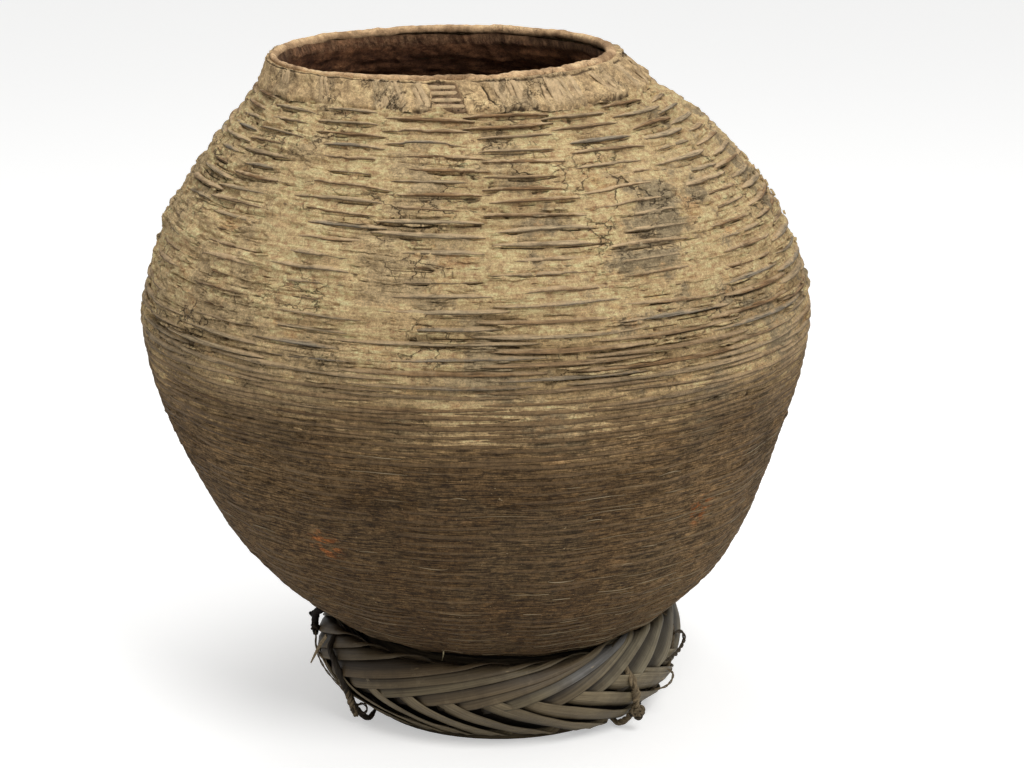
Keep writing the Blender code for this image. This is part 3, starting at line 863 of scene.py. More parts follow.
def clay_patches(places, woven, low, fill):
    """The clay's colour by height, in dusty, grey, fresh and stained patches."""
    across = node("SeparateXYZ", {"Vector": places}).outputs["X"]
    shade = aged(places, times(maths("SUBTRACT", fill, 0.58), 0.15))
    dusty = reach(spots(places, 24.0, 6.0, 0.7), 0.46, 0.70)
    shade = blend(times(dusty, 0.28), shade, blend(low, PALE, BROWN))
    shade = blend(fade(low, 0.44, 0.0), shade, LIGHT_DUST)
    green = reach(spots(places, 17.0, 5.0, 0.65), 0.50, 0.60)
    grey = times(green, reach(across, -0.10, 0.08, 0.35, 0.75))
    shade = blend(grey, shade, blend(low, GREY_GREEN, GREY_BROWN))
    fresh = reach(spots(stretched(places, (1.0, 1.0, 1.7)), 27.0, 5.0, 0.7), 0.58, 0.66)
    shade = blend(times(fresh, fade(low, 0.45, 0.10)), shade, FRESH_CLAY)
    stains = reach(drawn_out(woven, 1.6, 0.30, 5.0, 0.65), 0.50, 0.72)
    return blend(times(stains, 0.30), shade, blend(low, BROWN, SOOT_AND_PAINTED_SHADE))


def clay_openings(places, woven, low, bricks_on):
    """Cracks in the clay, and the short dark dashes between the wefts, from 0 to 1."""
    upright = cracks(stretched(woven, (6.0, 0.10, 1.0)), 1.0, 0.032, 0.02)
    split = times(upright, times(bricks_on, 0.50))
    stray_zone = reach(spots(places, 21.0, 3.0), 0.50, 0.62)
    stray = cracks(stretched(places, (1.0, 1.0, 1.8)), 56.0, 0.040, 0.012)
    long_zone = reach(spots(places, 8.0, 3.0), 0.57, 0.62)
    long_cracks = cracks(places, 14.0, 0.013, 0.055)
    opened = maths("MAXIMUM", times(stray, stray_zone), times(long_cracks, long_zone))
    opened = times(opened, maths("SUBTRACT", 1.0, low))
    opened = maths("MAXIMUM", opened, split)
    dashes = drawn_out(woven, 7.0, 1.9, 2.0, 0.5)
    dashes = reach(plus(dashes, times(low, 0.085)), 0.69, 0.73)
    return maths("MAXIMUM", opened, times(dashes, 0.75))


print("the clay's texture changes between", CLAY_DARK_Z[0], "and", CLAY_DARK_Z[1], "m above the floor")

# %% Finish the clay and lay it on
def clay_finish():
    material = start_finish("daubed_clay", 0.95)
    places = in_space()
    woven = on_surface()
    fill = number("fill")
    bricks_on = reach(number("brick"), 0.3, 0.8)
    height = node("SeparateXYZ", {"Vector": places}).outputs["Z"]
    low = reach(plus(height, times(spots(places, 14.0), 0.07)), *CLAY_DARK_Z)
    shade = clay_patches(places, woven, low, fill)
    chips = node("TexVoronoi", {"Vector": stretched(woven, (11.0, 1.3, 1.0)), "Scale": 1.0})
    chip_tone = node("SeparateXYZ", {"Vector": chips.outputs["Color"]}).outputs["X"]
    chip_shade = blend(chip_tone, CHIP_DARK, CHIP_LIGHT)
    shade = blend(fade(low, 0.20, 0.15), shade, chip_shade, "OVERLAY")
    shade = blend(times(bricks_on, 0.55), shade, PALE)
    shade = blend(times(orange_patches(places), 0.90), shade, SCORCHED)
    fibres = drawn_out(woven, 4.6, 3.0, 6.0, 0.78)
    fibre_shade = blend(reach(fibres, 0.40, 0.62), STRAND_DARK, STRAND_LIGHT)
    shade = blend(fade(low, 0.16, 0.78), shade, fibre_shade, "OVERLAY")
    shade, grains = grit(places, shade, fade(low, 0.80, 1.0))
    specks = reach(spots(places, 360.0, 2.0), 0.72, 0.77)
    shade = blend(times(times(specks, low), 0.50), shade, PALE)
    shade = blend(times(reach(fill, 0.42, 0.05), 0.14), shade, BROWN, "MULTIPLY")
    opened = clay_openings(places, woven, low, bricks_on)
    shade = blend(times(opened, 0.75), shade, SOOT_AND_PAINTED_SHADE)
    # Painted shade in the crevices under the floats and along flake edges, with the dark of open joints and
    # pits.
    shade = blend(reach(number("recess_and_painted_shade"), 0.15, 0.80, 0.0, 0.84), shade, SOOT_AND_PAINTED_SHADE)

    bumps = maths("SUBTRACT", times(grains, 0.5), times(opened, 1.2))
    lumps = drawn_out(woven, 7.0, 1.1, 6.0, 0.72)
    bumps = plus(bumps, times(lumps, fade(low, 1.5, 0.5)))
    bumps = plus(bumps, times(fibres, 0.6))
    bumps = plus(bumps, times(chip_tone, fade(low, 0.7, 0.2)))
    return end_finish(material, shade, bumps, 0.0027)


clay = clay_finish()
for band_index in range(CLAY_BANDS):
    piece = clay_band(band_index, clay)
    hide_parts("clay_coat")

# %% [markdown]
# The floats are real strips, so that each one casts its own thin shadow: that shadow is most of
# what the eye reads as basketwork. Every float is a rounded strip that follows the wall, rises
# over its stave, narrows and sinks into the clay at both ends, and sooner where the clay is
# thick. All of them are worked out together as one array with a row for each float. On the
# shoulder they are thick and stand out of the clay. Below the belly they are thin and flat and
# lie almost flush.

# %% Weave the floats
FLOAT_SECTIONS = 26
FLOAT_SIDES = 8
TUCK = 0.0024                 # how much further out a float's lower edge stands than its upper edge
WEFT_CROWN = 0.0017           # the height of the weave's crowns off the wall
CROWN_OVER_CLAY = 0.0004
CROWN_STRAY = (-0.0013, 0.0005)
LOW_STRAY = (-0.0006, 0.0001)
THICK_FLOAT = (0.0024, 0.0032)
THIN_FLOAT = 0.0007
END_DROP = (0.0020, 0.0032)   # how far a float's ends dip
THIN_DROP = 0.0007
BURIED_DROP = 0.0008          # and how much further in thick clay
RAGGED_WIDTHS = ((0.13, 0.05, 43), (0.12, 0.022, 44))


def float_table():
    """Number and way of every float of the weave."""
    table = []
    for number in range(0, FLOAT_NUMBERS, 2):
        way = way_of(number / STAVES)
        if FLOATS_START < way < FLOATS_END:
            table.append((number, way))
    return np.array(table)


def ragged(along, waves):
    """A width's share along a strip, torn by noise of these amounts, sizes and seeds."""
    return 1 + sum(amount * line_noise(along, size, seed) for amount, size, seed in waves)


def resting(turn, way):
    """The clay's level and fill, the wall's swell, and how high a strip lies on it, without that swell."""
    level, fill, _, _ = clay_level(turn, way)
    swell = swell_at(turn, way)
    return level, fill, swell, between(WEFT_CROWN, level - swell + CROWN_OVER_CLAY, ease(fill, 0.30, 0.95))


def make_floats(finish):
    rng = np.random.default_rng(23)
    number, way = float_table().T
    number = number.astype(int)
    count = len(way)

    def pick(low, high):
        return rng.uniform(low, high, count)[:, None]

    way = way[:, None]
    upper = coarse(way)
    middle = waist(way)
    t = np.linspace(-1, 1, FLOAT_SECTIONS)[None, :]
    passing = number[:, None] + float_shift[number][:, None] + t * float_half(number[:, None], way)
    spiral = passing * STAVE_TURN
    turn = FIRST_STAVE + spiral
    line = way_of(spiral / (2 * math.pi)) + wander(spiral) + float_bend(number[:, None], t)
    width = float_width(number, way[:, 0])[:, None]
    wide = width * (1 - 0.50 * np.abs(t) ** 4) * ragged(spiral + pick(0, 900), RAGGED_WIDTHS)
    thick = between(THIN_FLOAT, pick(*THICK_FLOAT), np.maximum(upper, 0.6 * middle))
    thick = thick * (1 - 0.35 * np.abs(t) ** 3)
    level, fill, swell, crown = resting(turn, line)
    crown = crown + pick(*CROWN_STRAY)
    proud = between(level + pick(*LOW_STRAY), crown - thick / 2 + swell, upper)
    buried = ease(fill, 0.35, 0.90) * upper
    drop = between(THIN_DROP, pick(*END_DROP), upper) + BURIED_DROP * buried
    high = proud - drop * np.abs(t) ** between(4, 2, buried)
    angle = circle(FLOAT_SIDES) + math.pi / FLOAT_SIDES
    across = np.cos(angle) / 2
    tuck = TUCK * (upper + 0.4 * (1 - upper) * middle)[..., None] * across
    grid = wall(turn[..., None], line[..., None] + wide[..., None] * across,
                high[..., None] + thick[..., None] * (np.sin(angle) / 2) + tuck)
    uv = lay_out((spiral * BELLY_RADIUS)[..., None],
                 np.linspace(0, 1, FLOAT_SIDES + 1) * 0.012 + 0.05 * number[:, None, None],
                 (count, FLOAT_SECTIONS, FLOAT_SIDES + 1))
    numbers = {"tone": pick(0, 1)[..., None], "end": np.abs(t)[..., None], "fill": fill[..., None],
               "edge": 2 * across}
    values = {label: np.broadcast_to(value, grid.shape[:3]) for label, value in numbers.items()}
    pieces = []
    front = np.sin(FIRST_STAVE + number * STAVE_TURN) < 0
    shoulder = way[:, 0] < BELLY_WAY
    zones = {"wefts_shoulder_front": shoulder & front, "wefts_shoulder_back": shoulder & ~front,
             "wefts_bowl_front": ~shoulder & front, "wefts_bowl_back": ~shoulder & ~front}
    for name, chosen in zones.items():
        kept = {label: value[chosen] for label, value in values.items()}
        pieces.append(make_piece(name, grid[chosen], finish, uv[chosen],
                                 wrap=True, capped=True, values=kept))
    return pieces


print(len(float_table()), "floats on the whole basket")

# %% [markdown]
# Old split bamboo is not one brown. Each strip keeps its own tone, fine fibres run along it, the
# worn crown is paler, its lower edge is darkened as painted shadow, and clay dust clings where it
# dips into the wall. The strip's own number, stored on its points, sets the tone, and noise
# stretched far along the strip draws the fibres. The dust takes the clay's own colour, so a strip
# fades into the clay at its ends and stays bare and grey only on its crown.

# %% Finish for the wefts
BAMBOO_GREY = colour(144, 130, 106)
BAMBOO_BROWN = colour(122, 97, 68)
BAMBOO_BLUE = colour(122, 114, 100)
BAMBOO_PALE = colour(198, 176, 140)
BAMBOO_DARK = colour(60, 46, 32)
LOW_WEFT_DARK = colour(80, 64, 44)
LOW_WEFT_LIGHT = colour(100, 82, 58)
WEFT_FIBRE_DARK = colour(84, 80, 74)
WEFT_FIBRE_LIGHT = colour(246, 243, 238)
WEFT_DARK_Z = (0.332, 0.256)


def weft_finish():
    material = start_finish("weathered_wefts", 0.75)
    places = in_space()
    along = on_surface()
    tone = number("tone")
    edge = number("edge")
    low = reach(node("SeparateXYZ", {"Vector": places}).outputs["Z"], *WEFT_DARK_Z)
    shade = blend(reach(tone, 0.1, 0.8), BAMBOO_BROWN, BAMBOO_GREY)
    shade = blend(reach(tone, 0.86, 0.92), shade, BAMBOO_BLUE)
    shade = blend(low, shade, blend(tone, LOW_WEFT_DARK, LOW_WEFT_LIGHT))
    fibres = drawn_out(along, 45.0, 900.0, 5.0, 0.66)
    fibre_shade = blend(reach(fibres, 0.30, 0.68), WEFT_FIBRE_DARK, WEFT_FIBRE_LIGHT)
    shade = blend(0.85, shade, fibre_shade, "OVERLAY")
    worn = reach(drawn_out(along, 22.0, 300.0, 3.0), 0.62, 0.74)
    shade = blend(times(worn, fade(low, 0.45, 0.12)), shade, BAMBOO_PALE)
    dust = plus(spots(places, 95.0, 6.0, 0.75), times(number("end"), 0.38))
    dust = plus(dust, times(number("fill"), 0.32))
    dust = maths("SUBTRACT", dust, times(edge, 0.20))
    dust = times(reach(dust, 0.60, 0.92), fade(low, 0.92, 0.75))
    shade = blend(dust, shade, aged(places, -0.020))
    shade, grains = grit(places, shade, fade(low, 0.40, 0.75))
    # Painted shadow along each float's lower edge.
    shade = blend(reach(edge, 0.45, 1.0, 0.0, 0.50), shade, SOOT_AND_PAINTED_SHADE)
    bumps = plus(fibres, times(plus(grains, dust), 0.5))
    return end_finish(material, shade, bumps, 0.0011)


wefts = weft_finish()
for piece in make_floats(wefts):
    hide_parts("weft_wall")

# %% [markdown]
# The lower wall is so smooth that the eye catches on single fibres: pale threads of bamboo that
# have lifted off a strip. They are scattered thin ribbons, more of them at the bottom and on the
# right. Because they are laid on by the clay's own height field, they neither float nor drown.

# %% Scatter the loose fibres
FIBRE_COUNT = 300
FIBRE_SECTIONS = 14
FIBRE_SIDES = 5
FIBRE_HALF = (0.004, 0.022)
FIBRE_BOW = 0.0012
FIBRE_WIDTH = (0.0005, 0.0010)
FIBRE_HEIGHT = 0.00025
FIBRE_LIFT = 0.0003
FIBRE_ANGLES = ((15, 80), (-180, 180))      # the first for half of them, the second for the rest


def make_loose_fibres(finish):
    rng = np.random.default_rng(31)
    depth = rng.beta(1.5, 1.0, FIBRE_COUNT)
    way = between(BELLY_WAY + 0.015, SEAT_WAY + 0.004, depth)[:, None]
    on_right = rng.uniform(0, 1, FIBRE_COUNT) < 0.5
    right, anywhere = (rng.uniform(*angles, FIBRE_COUNT) for angles in FIBRE_ANGLES)
    half = rng.uniform(*FIBRE_HALF, FIBRE_COUNT)[:, None]
    t = np.linspace(-1, 1, FIBRE_SECTIONS)[None, :]
    radius = np.interp(way, WAYS, CURVE[:, 0])
    turn = FRONT + np.radians(np.where(on_right, right, anywhere))[:, None] + t * half / radius
    spiral = turn + 2 * math.pi * np.round(row_at(way))
    bow = rng.uniform(-FIBRE_BOW, FIBRE_BOW, FIBRE_COUNT)[:, None]
    line = way + wander(spiral) + bow * t ** 2 + (turn - turn[:, :1]) / (2 * math.pi) * LOWER_PITCH
    high = clay_level(turn, line)[0] + FIBRE_LIFT
    wide = rng.uniform(*FIBRE_WIDTH, FIBRE_COUNT)[:, None] * (1 - 0.7 * t ** 2)
    angle = circle(FIBRE_SIDES)
    grid = wall(turn[..., None], line[..., None] + wide[..., None] * np.cos(angle) / 2,
                high[..., None] + FIBRE_HEIGHT * np.sin(angle))
    uv = lay_out((t * half)[..., None], np.linspace(0, 0.01, FIBRE_SIDES + 1) + way[..., None],
                 (FIBRE_COUNT, FIBRE_SECTIONS, FIBRE_SIDES + 1))
    tone = rng.uniform(0, 1, FIBRE_COUNT)[:, None, None]
    return make_piece("loose_fibres", grid, finish, uv,
                      wrap=True, capped=True, values={"tone": tone})


def fibre_finish():
    material = start_finish("loose_fibre", 0.6)
    streaks = drawn_out(on_surface(), 60.0, 700.0, 3.0)
    pale = blend(number("tone"), colour(112, 92, 64), colour(172, 154, 122))
    shade = blend(reach(streaks, 0.35, 0.65), colour(92, 74, 50), pale)
    return end_finish(material, shade, streaks, 0.0002)


loose_fibres = make_loose_fibres(fibre_finish())
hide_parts("weft_wall")

# %% [markdown]
# Dry clay doesn't end cleanly. It crumbles into short ledges that still cling over a joint, each
# with a bright top and a thin dark shadow under it. Most of them lie where the coarse weave ends,
# and some on the shoulder. They could be painted, but then they would cast no shadow. So they are
# laid on in the same way as the loose fibres, only thicker, exactly along the rows, and with a
# ragged outline. They carry the clay's own finish, told that the clay is thick there, so that
# they keep the bright colour of the shoulder further down the wall.
# Their lower sides are darkened a little as well, as painted shade.

# %% Lay the crumbled ledges
LEDGE_COUNT = 1250
LEDGE_SECTIONS = 14
LEDGE_SIDES = 5
LEDGE_LOWEST = 0.085          # way from the belly down to the lowest ledges, and the spread up from there
LEDGE_SPREAD = 0.215
LEDGE_HALF = (0.003, 0.017)
LEDGE_WIDTH = (0.0008, 0.0023)
LEDGE_HEIGHT = (0.0005, 0.0008)
LEDGE_STRAY = (-0.0007, 0.0001)
LEDGE_TILT = 0.0004
LEDGE_WANDER = (0.0004, 0.020, 46)
LEDGE_RAGS = ((0.45, 0.008, 45), (0.35, 0.026, 47))


def make_clay_ledges(finish):
    rng = np.random.default_rng(37)

    def pick(low, high):
        return rng.uniform(low, high, LEDGE_COUNT)[:, None]

    t = np.linspace(-1, 1, LEDGE_SECTIONS)[None, :]
    row = np.round(row_at(BELLY_WAY + LEDGE_LOWEST - LEDGE_SPREAD * pick(0, 1) ** 1.6))
    spiral = pick(0, 2 * math.pi) + 2 * math.pi * row + t * pick(*LEDGE_HALF) / BELLY_RADIUS
    turn = FIRST_STAVE + spiral
    line = way_of(spiral / (2 * math.pi) + pick(0.25, 0.75)) + wander(spiral)
    level, _, swell, crown = resting(turn, line)
    high = between(level, crown + swell, coarse(line)) + pick(*LEDGE_STRAY)
    seeded = spiral + pick(0, 900)
    sway, size, seed = LEDGE_WANDER
    line = line + sway * line_noise(seeded, size, seed)
    wide = pick(*LEDGE_WIDTH) * (1 - 0.85 * t ** 2) * ragged(seeded, LEDGE_RAGS)
    angle = circle(LEDGE_SIDES)
    grid = wall(turn[..., None], line[..., None] + wide[..., None] * np.cos(angle) / 2,
                high[..., None] + pick(*LEDGE_HEIGHT)[..., None] * np.sin(angle) + LEDGE_TILT * np.cos(angle))
    uv = lay_out((spiral / STAVE_TURN)[..., None], np.cos(circle(LEDGE_SIDES, 1)) / 3 + row[..., None],
                 (LEDGE_COUNT, LEDGE_SECTIONS, LEDGE_SIDES + 1))
    # Painted shade on the lower side of each ledge.
    recess_and_painted_shade = 0.35 * ease(np.cos(angle), 0.3, 1.0)
    values = {"fill": pick(0.55, 0.95)[..., None], "recess_and_painted_shade": recess_and_painted_shade, "brick": 0.0}
    return make_piece("clay_ledges", grid, finish, uv, wrap=True, capped=True, values=values)


clay_ledges = make_clay_ledges(clay)
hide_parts("clay_coat")

# %% [markdown]
# Inside, the basket was plastered so that grain would not leak. That daub is dark and rough, with
# finger-wide lumps pressed along the rows, and paler streaks hang over it at the mouth. It is made
# in the same way as the coat, seen from the other side, so the faces are flipped to look inward.
# Its hollows, between the lumps and furrows, are darkened as painted shade.

# %% Line the inside
LINING_ROWS = 300
LINING_COLUMNS = 320
LINING_TOP = -0.0045
LINING_DEPTH = 0.0093
COLLAR_LINING = 0.0018       # the lining is this much thicker inside the collar
LINING_EDGE = 0.0035         # and this much thinner at its top edge
LINING_LUMPS = 0.0009
LINING_FURROWS = 0.0008
LINING_DRIPS = 0.0007
INSIDE_DARK = colour(78, 49, 34)
INSIDE_BROWN = colour(168, 120, 86)
DRIP_SHADE = colour(124, 98, 74)
STREAK_DARK = colour(52, 34, 24)
STREAK_LIGHT = colour(150, 118, 90)


def make_lining(finish):
    ways = np.linspace(LINING_TOP, POLE_WAY - 0.0005, LINING_ROWS)
    turn, way = np.meshgrid(circle(LINING_COLUMNS, 1), ways)
    lumps = wrap_noise(turn, way, 0.020, 0.008, 51, 3)
    furrows = wrap_noise(turn, way, 0.060, 0.005, 53, 2)
    drips = wrap_noise(turn, way, 0.007, 0.03, 55, 2)
    upper = 1 - ease(way, 0.006, 0.05)
    depth = LINING_DEPTH + COLLAR_LINING * upper - LINING_EDGE * ease(way, 0.0005, LINING_TOP)
    depth = depth + LINING_LUMPS * lumps + LINING_FURROWS * furrows + LINING_DRIPS * upper * drips
    uv = np.stack([turn / (2 * math.pi), way], -1)[None]
    drip = ease(way + 0.003 * (drips + lumps), 0.001, -0.004)
    # Painted shade in the hollows between the lumps and furrows.
    painted_hollow_shade = np.clip(0.5 - 0.5 * (lumps + furrows), 0, 1)
    return make_piece("clay_lining_daub", closed(wall(turn, way, -depth)), finish, uv,
                      wrap=True, flip=True, values={"drip": closed(drip), "painted_hollow_shade": closed(painted_hollow_shade)})


def lining_finish():
    material = start_finish("dark_lining", 0.95)
    places = in_space()
    around = on_surface()
    patches = spots(stretched(places, (1.0, 1.0, 3.0)), 45.0, 6.0, 0.75)
    shade = blend(reach(patches, 0.36, 0.66), INSIDE_DARK, INSIDE_BROWN)
    # Painted shade in the hollows.
    shade = blend(times(number("painted_hollow_shade"), 0.7), shade, INSIDE_DARK)
    shade = blend(times(number("drip"), 0.6), shade, DRIP_SHADE)
    top = node("SeparateXYZ", {"Vector": around}).outputs["Y"]
    fringe = drawn_out(around, 120.0, 60.0, 6.0, 0.8)
    hanging = plus(top, times(fringe, -0.012))
    fringe_shade = blend(reach(fringe, 0.42, 0.60), STREAK_DARK, STREAK_LIGHT)
    shade = blend(reach(hanging, 0.001, -0.006, 0.0, 0.55), shade, fringe_shade)
    shade, _ = grit(places, shade, 0.9)
    bumps = plus(spots(places, 150.0, 7.0, 0.85), fringe)
    return end_finish(material, shade, bumps, 0.0034)


lining = make_lining(lining_finish())
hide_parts("clay_lining")

# %% [markdown]
# The collar hides two hoops that grip the staves. Bamboo strip is wound over both, and clay is
# smeared on top, so strips show in bunches and vanish again. The daub is one ring with a ragged
# ledge at its lower edge. Where a bunch lies close under it the daub is ribbed and greyer. At the
# front it has fallen off and shows the winding bare, and beside that spot an upright crack runs
# through it. All of these stand where they stand on the real basket, given as degrees from the
# front, so short tables place them and one function reads every table.
# The daub is darkened with painted shade under its ledge, in the seam under the lip and along flake edges.

# %% Find the zones of the collar
COLLAR_TOP = -0.0032
COLLAR_END = COLLAR_HEIGHT + 0.0042
BARE_SPOT = (-4.3, 4.3)
CRACK_PLACE = 11.7
CRACK_HALF = 0.33
# Degrees from the front where a zone starts and ends, and how strong it is
RIBBED = ((-62, -54, 0.7), (-42, -35, 0.5), (-22, -12, 1.0), (-9.5, -6, 0.7), (14, 25, 0.9), (27, 41, 0.6),
          (52, 60, 0.6), (66, 73, 0.5), (100, 118, 0.6), (140, 152, 0.8), (-160, -142, 0.6),
          (-120, -100, 0.7))
LEDGES = ((-21, -5, 1.0), (12, 28, 0.9), (40, 60, 0.9), (-60, -45, 0.7), (90, 180, 0.5), (-180, -90, 0.5))
SEAM_SIDE = (-85, 2)         # the seam under the lip is open between these degrees


def zone(angle, low, high, edge=0.8):
    """1 between these two angles, 0 outside, with a soft edge."""
    return ease(angle, low - edge, low + edge) * ease(angle, high + edge, high - edge)


def strongest(angle, table):
    """The strongest of the zones in a table at each angle."""
    return np.max([share * zone(angle, low, high) for low, high, share in table], axis=0)


def collar_crack(turn, way, angle):
    """The upright crack beside the bare spot."""
    bend = CRACK_PLACE + 0.7 * wrap_noise(turn, way, 0.5, 0.004, 49, 2)
    return peak(angle, bend, CRACK_HALF) * ease(way, 0.003, 0.006) * ease(way, 0.021, 0.018)


def collar_seam(turn, way, angle):
    """The joint under the lip, open at the front left and in places further round."""
    seam = peak(way, 0.0012 + 0.0008 * wrap_noise(turn, 0, 0.02, 1, 48, 2), 0.0008)
    open_places = ease(wrap_noise(turn, way, 0.03, 0.01, 50), -0.2, 0.4)
    return seam * np.maximum(open_places, 0.9 * zone(angle, *SEAM_SIDE, 4))


print("ribbed share at -18, 0 and 18 degrees", np.round(strongest(np.array((-18, 0, 18)), RIBBED), 1))

# %% Daub the collar
COLLAR_COLUMNS = 1500
COLLAR_SECTIONS = 46
COLLAR_PROUD = 0.0012
COLLAR_START = -0.0022       # the daub starts this deep, under the lip
COLLAR_LUMPS = 0.0010
COLLAR_FLAKES = 0.0007
RIB_RISE = 0.0008
RIB_DEPTH = 0.0021
LEDGE_RISE = 0.0009
EDGE_DROP = 0.0026
UNDERCUT = 0.0010
BARE_DEPTH = 0.0024
CRACK_DEPTH = 0.0012
SEAM_DEPTH = 0.0009
LIP_TILT = 0.0020            # how much higher the rim is at the back right
LIP_TILT_TURN = math.radians(40)


def make_collar(finish):
    turn, share = np.meshgrid(circle(COLLAR_COLUMNS, 1), np.linspace(0, 1, COLLAR_SECTIONS))
    angle = degrees_from_front(turn)
    ribbed = strongest(angle, RIBBED)
    ledge = strongest(angle, LEDGES)
    way = between(COLLAR_TOP, COLLAR_END + 0.0020 * wrap_noise(turn, 0, 0.018, 1, 41, 3), share)
    lumps = wrap_noise(turn, way, 0.012, 0.007, 43, 3)
    ribs = np.abs(wrap_noise(turn + 0.10 * way / COLLAR_HEIGHT, way, 0.0030, 0.09, 45, 2))
    flakes = wrap_noise(turn, way, 0.016, 0.010, 46, 3)
    flake_edge = peak(flakes, 0.10, 0.035) * ease(wrap_noise(turn, way, 0.012, 0.012, 52), -0.1, 0.4)
    ragged_edge = ease(wrap_noise(turn, way, 0.007, 0.004, 47, 2), -0.5, 0.1)
    bare = zone(angle, *BARE_SPOT, 0.5) * ease(way, 0.0005, 0.0020)
    crack = collar_crack(turn, way, angle)
    seam = collar_seam(turn, way, angle)
    under = ease(share, 0.90, 0.96) * between(0.30, 0.85, ledge) * ragged_edge

    lift = COLLAR_PROUD + COLLAR_LUMPS * lumps + COLLAR_FLAKES * ease(flakes, 0.06, 0.14)
    lift = lift + ribbed * (RIB_RISE - RIB_DEPTH * ribs) + LEDGE_RISE * ledge * ease(share, 0.55, 0.80)
    lift = between(COLLAR_START, lift, ease(share, 0.0, 0.10))
    lift = lift - EDGE_DROP * ease(share, 0.88, 1.0) - UNDERCUT * under
    lift = lift - BARE_DEPTH * bare - CRACK_DEPTH * crack - SEAM_DEPTH * seam
    places = wall(turn, way, lift)
    places[..., 2] += LIP_TILT * np.cos(turn - LIP_TILT_TURN) * ease(share, 0.25, 0.0)

    # Painted shade under the ledge, in the seam and along flake edges; the crack, bare spot and ribs are
    # darkened too.
    recess_and_painted_shade = 0.6 * under + crack + 0.7 * seam + 0.35 * ribbed * ease(ribs, 0.40, 0.10) + 0.5 * bare
    recess_and_painted_shade = np.maximum(np.clip(recess_and_painted_shade, 0, 1), 0.55 * flake_edge)
    uv = np.stack([(turn - FIRST_STAVE) / STAVE_TURN, way / UPPER_PITCH], -1)[None]
    values = {"ribbed": closed(ribbed), "recess_and_painted_shade": closed(recess_and_painted_shade), "bare": closed(bare)}
    return make_piece("collar_daub", closed(places), finish, uv, wrap=True, values=values)


STREAKED_DARK = colour(112, 98, 76)
STREAKED_LIGHT = colour(186, 170, 142)
ROSY_DARK = colour(150, 120, 92)
ROSY_LIGHT = colour(206, 176, 144)


def collar_finish():
    material = start_finish("collar_clay", 0.95)
    places = in_space()
    shade = aged(places, 0.02)
    worn = reach(spots(places, 60.0, 6.0, 0.7), 0.38, 0.62)
    shade = blend(0.55, shade, blend(worn, BROWN, PALE))
    streaks = drawn_out(on_surface(), 26.0, 0.5, 5.0, 0.65)
    grey = blend(reach(streaks, 0.32, 0.62), STREAKED_DARK, STREAKED_LIGHT)
    shade = blend(times(number("ribbed"), 0.50), shade, grey)
    rosy = blend(streaks, ROSY_DARK, ROSY_LIGHT)
    shade = blend(times(number("bare"), 0.75), shade, rosy)
    shade, grains = grit(places, shade, 0.80)
    fine = cracks(places, 95.0, 0.045, 0.012)
    fine = times(fine, reach(spots(places, 40.0, 2.0), 0.50, 0.62))
    shade = blend(times(fine, 0.8), shade, SOOT_AND_PAINTED_SHADE)
    # Painted shade under the ledge, in the seam and along flake edges, with the darker crack, bare spot and
    # ribs.
    shade = blend(reach(number("recess_and_painted_shade"), 0.10, 0.75, 0.0, 0.90), shade, SOOT_AND_PAINTED_SHADE)
    bumps = plus(times(grains, 0.6), spots(places, 110.0, 5.0, 0.7))
    bumps = plus(bumps, times(spots(places, 48.0, 5.0, 0.75), 1.2))
    return end_finish(material, shade, maths("SUBTRACT", bumps, times(fine, 0.8)), 0.0021)


collar = make_collar(collar_finish())
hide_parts("rim_outer_hoop")

# %% [markdown]
# The strips are flat ribbons laid across the collar, each one leaning its own way and half sunk in
# the daub. Behind the bare spot, four rungs of the hoop itself cross from side to side like a
# small ladder. All of these are one tube maker with different lines.

# %% Wind the collar
# Degrees from the front where a bunch starts and ends, number of strips, lean in degrees
BUNCHES = ((-61, -55, 3, -6), (-41, -36, 2, 8), (-21, -13, 5, 8), (-9.3, -6.2, 2, 10), (14.5, 24, 5, -4),
           (29, 42, 7, -14), (52, 60, 4, 10), (66, 72, 3, -8), (140, 152, 6, 5), (-118, -102, 6, 8))
BACK_STRIPS = 34
BACK_SIDE = (80, 280)
STRIP_WIDTH = 0.0048
STRIP_THICKNESS = 0.0016
STRIP_HEIGHT = (0.0007, 0.0016)
STRIP_END_DROP = 0.0022
STRIP_SECTIONS = 16
STRIP_SIDES = 8
RUNG_WAYS = (0.0040, 0.0085, 0.0135, 0.0185)
RUNG_TONES = (0.9, 0.2, 0.6, 0.4)
RUNG_WIDTH = 0.0032
RUNG_THICKNESS = 0.0018
RUNG_DEPTH = -0.0008


def strip_starts(rng):
    """The turn from the front and the lean of every strip on the collar."""
    starts = []
    for low, high, count, tip in BUNCHES:
        for share in (np.arange(count) + 0.5) / count:
            starts.append((between(low, high, share) + rng.uniform(-0.4, 0.4), tip + rng.uniform(-6, 6)))
    for angle in rng.uniform(*BACK_SIDE, BACK_STRIPS):
        starts.append((angle, rng.uniform(-14, 14)))
    return np.radians(np.array(starts))


def strip_piece(name, grid, along, across, tone, end, finish):
    """One mesh of many short strips, with the numbers that the weft finish reads."""
    uv = lay_out(along[..., None], np.linspace(0, 0.01, STRIP_SIDES + 1) + across[..., None],
                 grid.shape[:2] + (STRIP_SIDES + 1,))
    values = {"tone": tone[:, None, None], "end": end[..., None], "fill": 1.0}
    return make_piece(name, grid, finish, uv, wrap=True, capped=True, values=values)


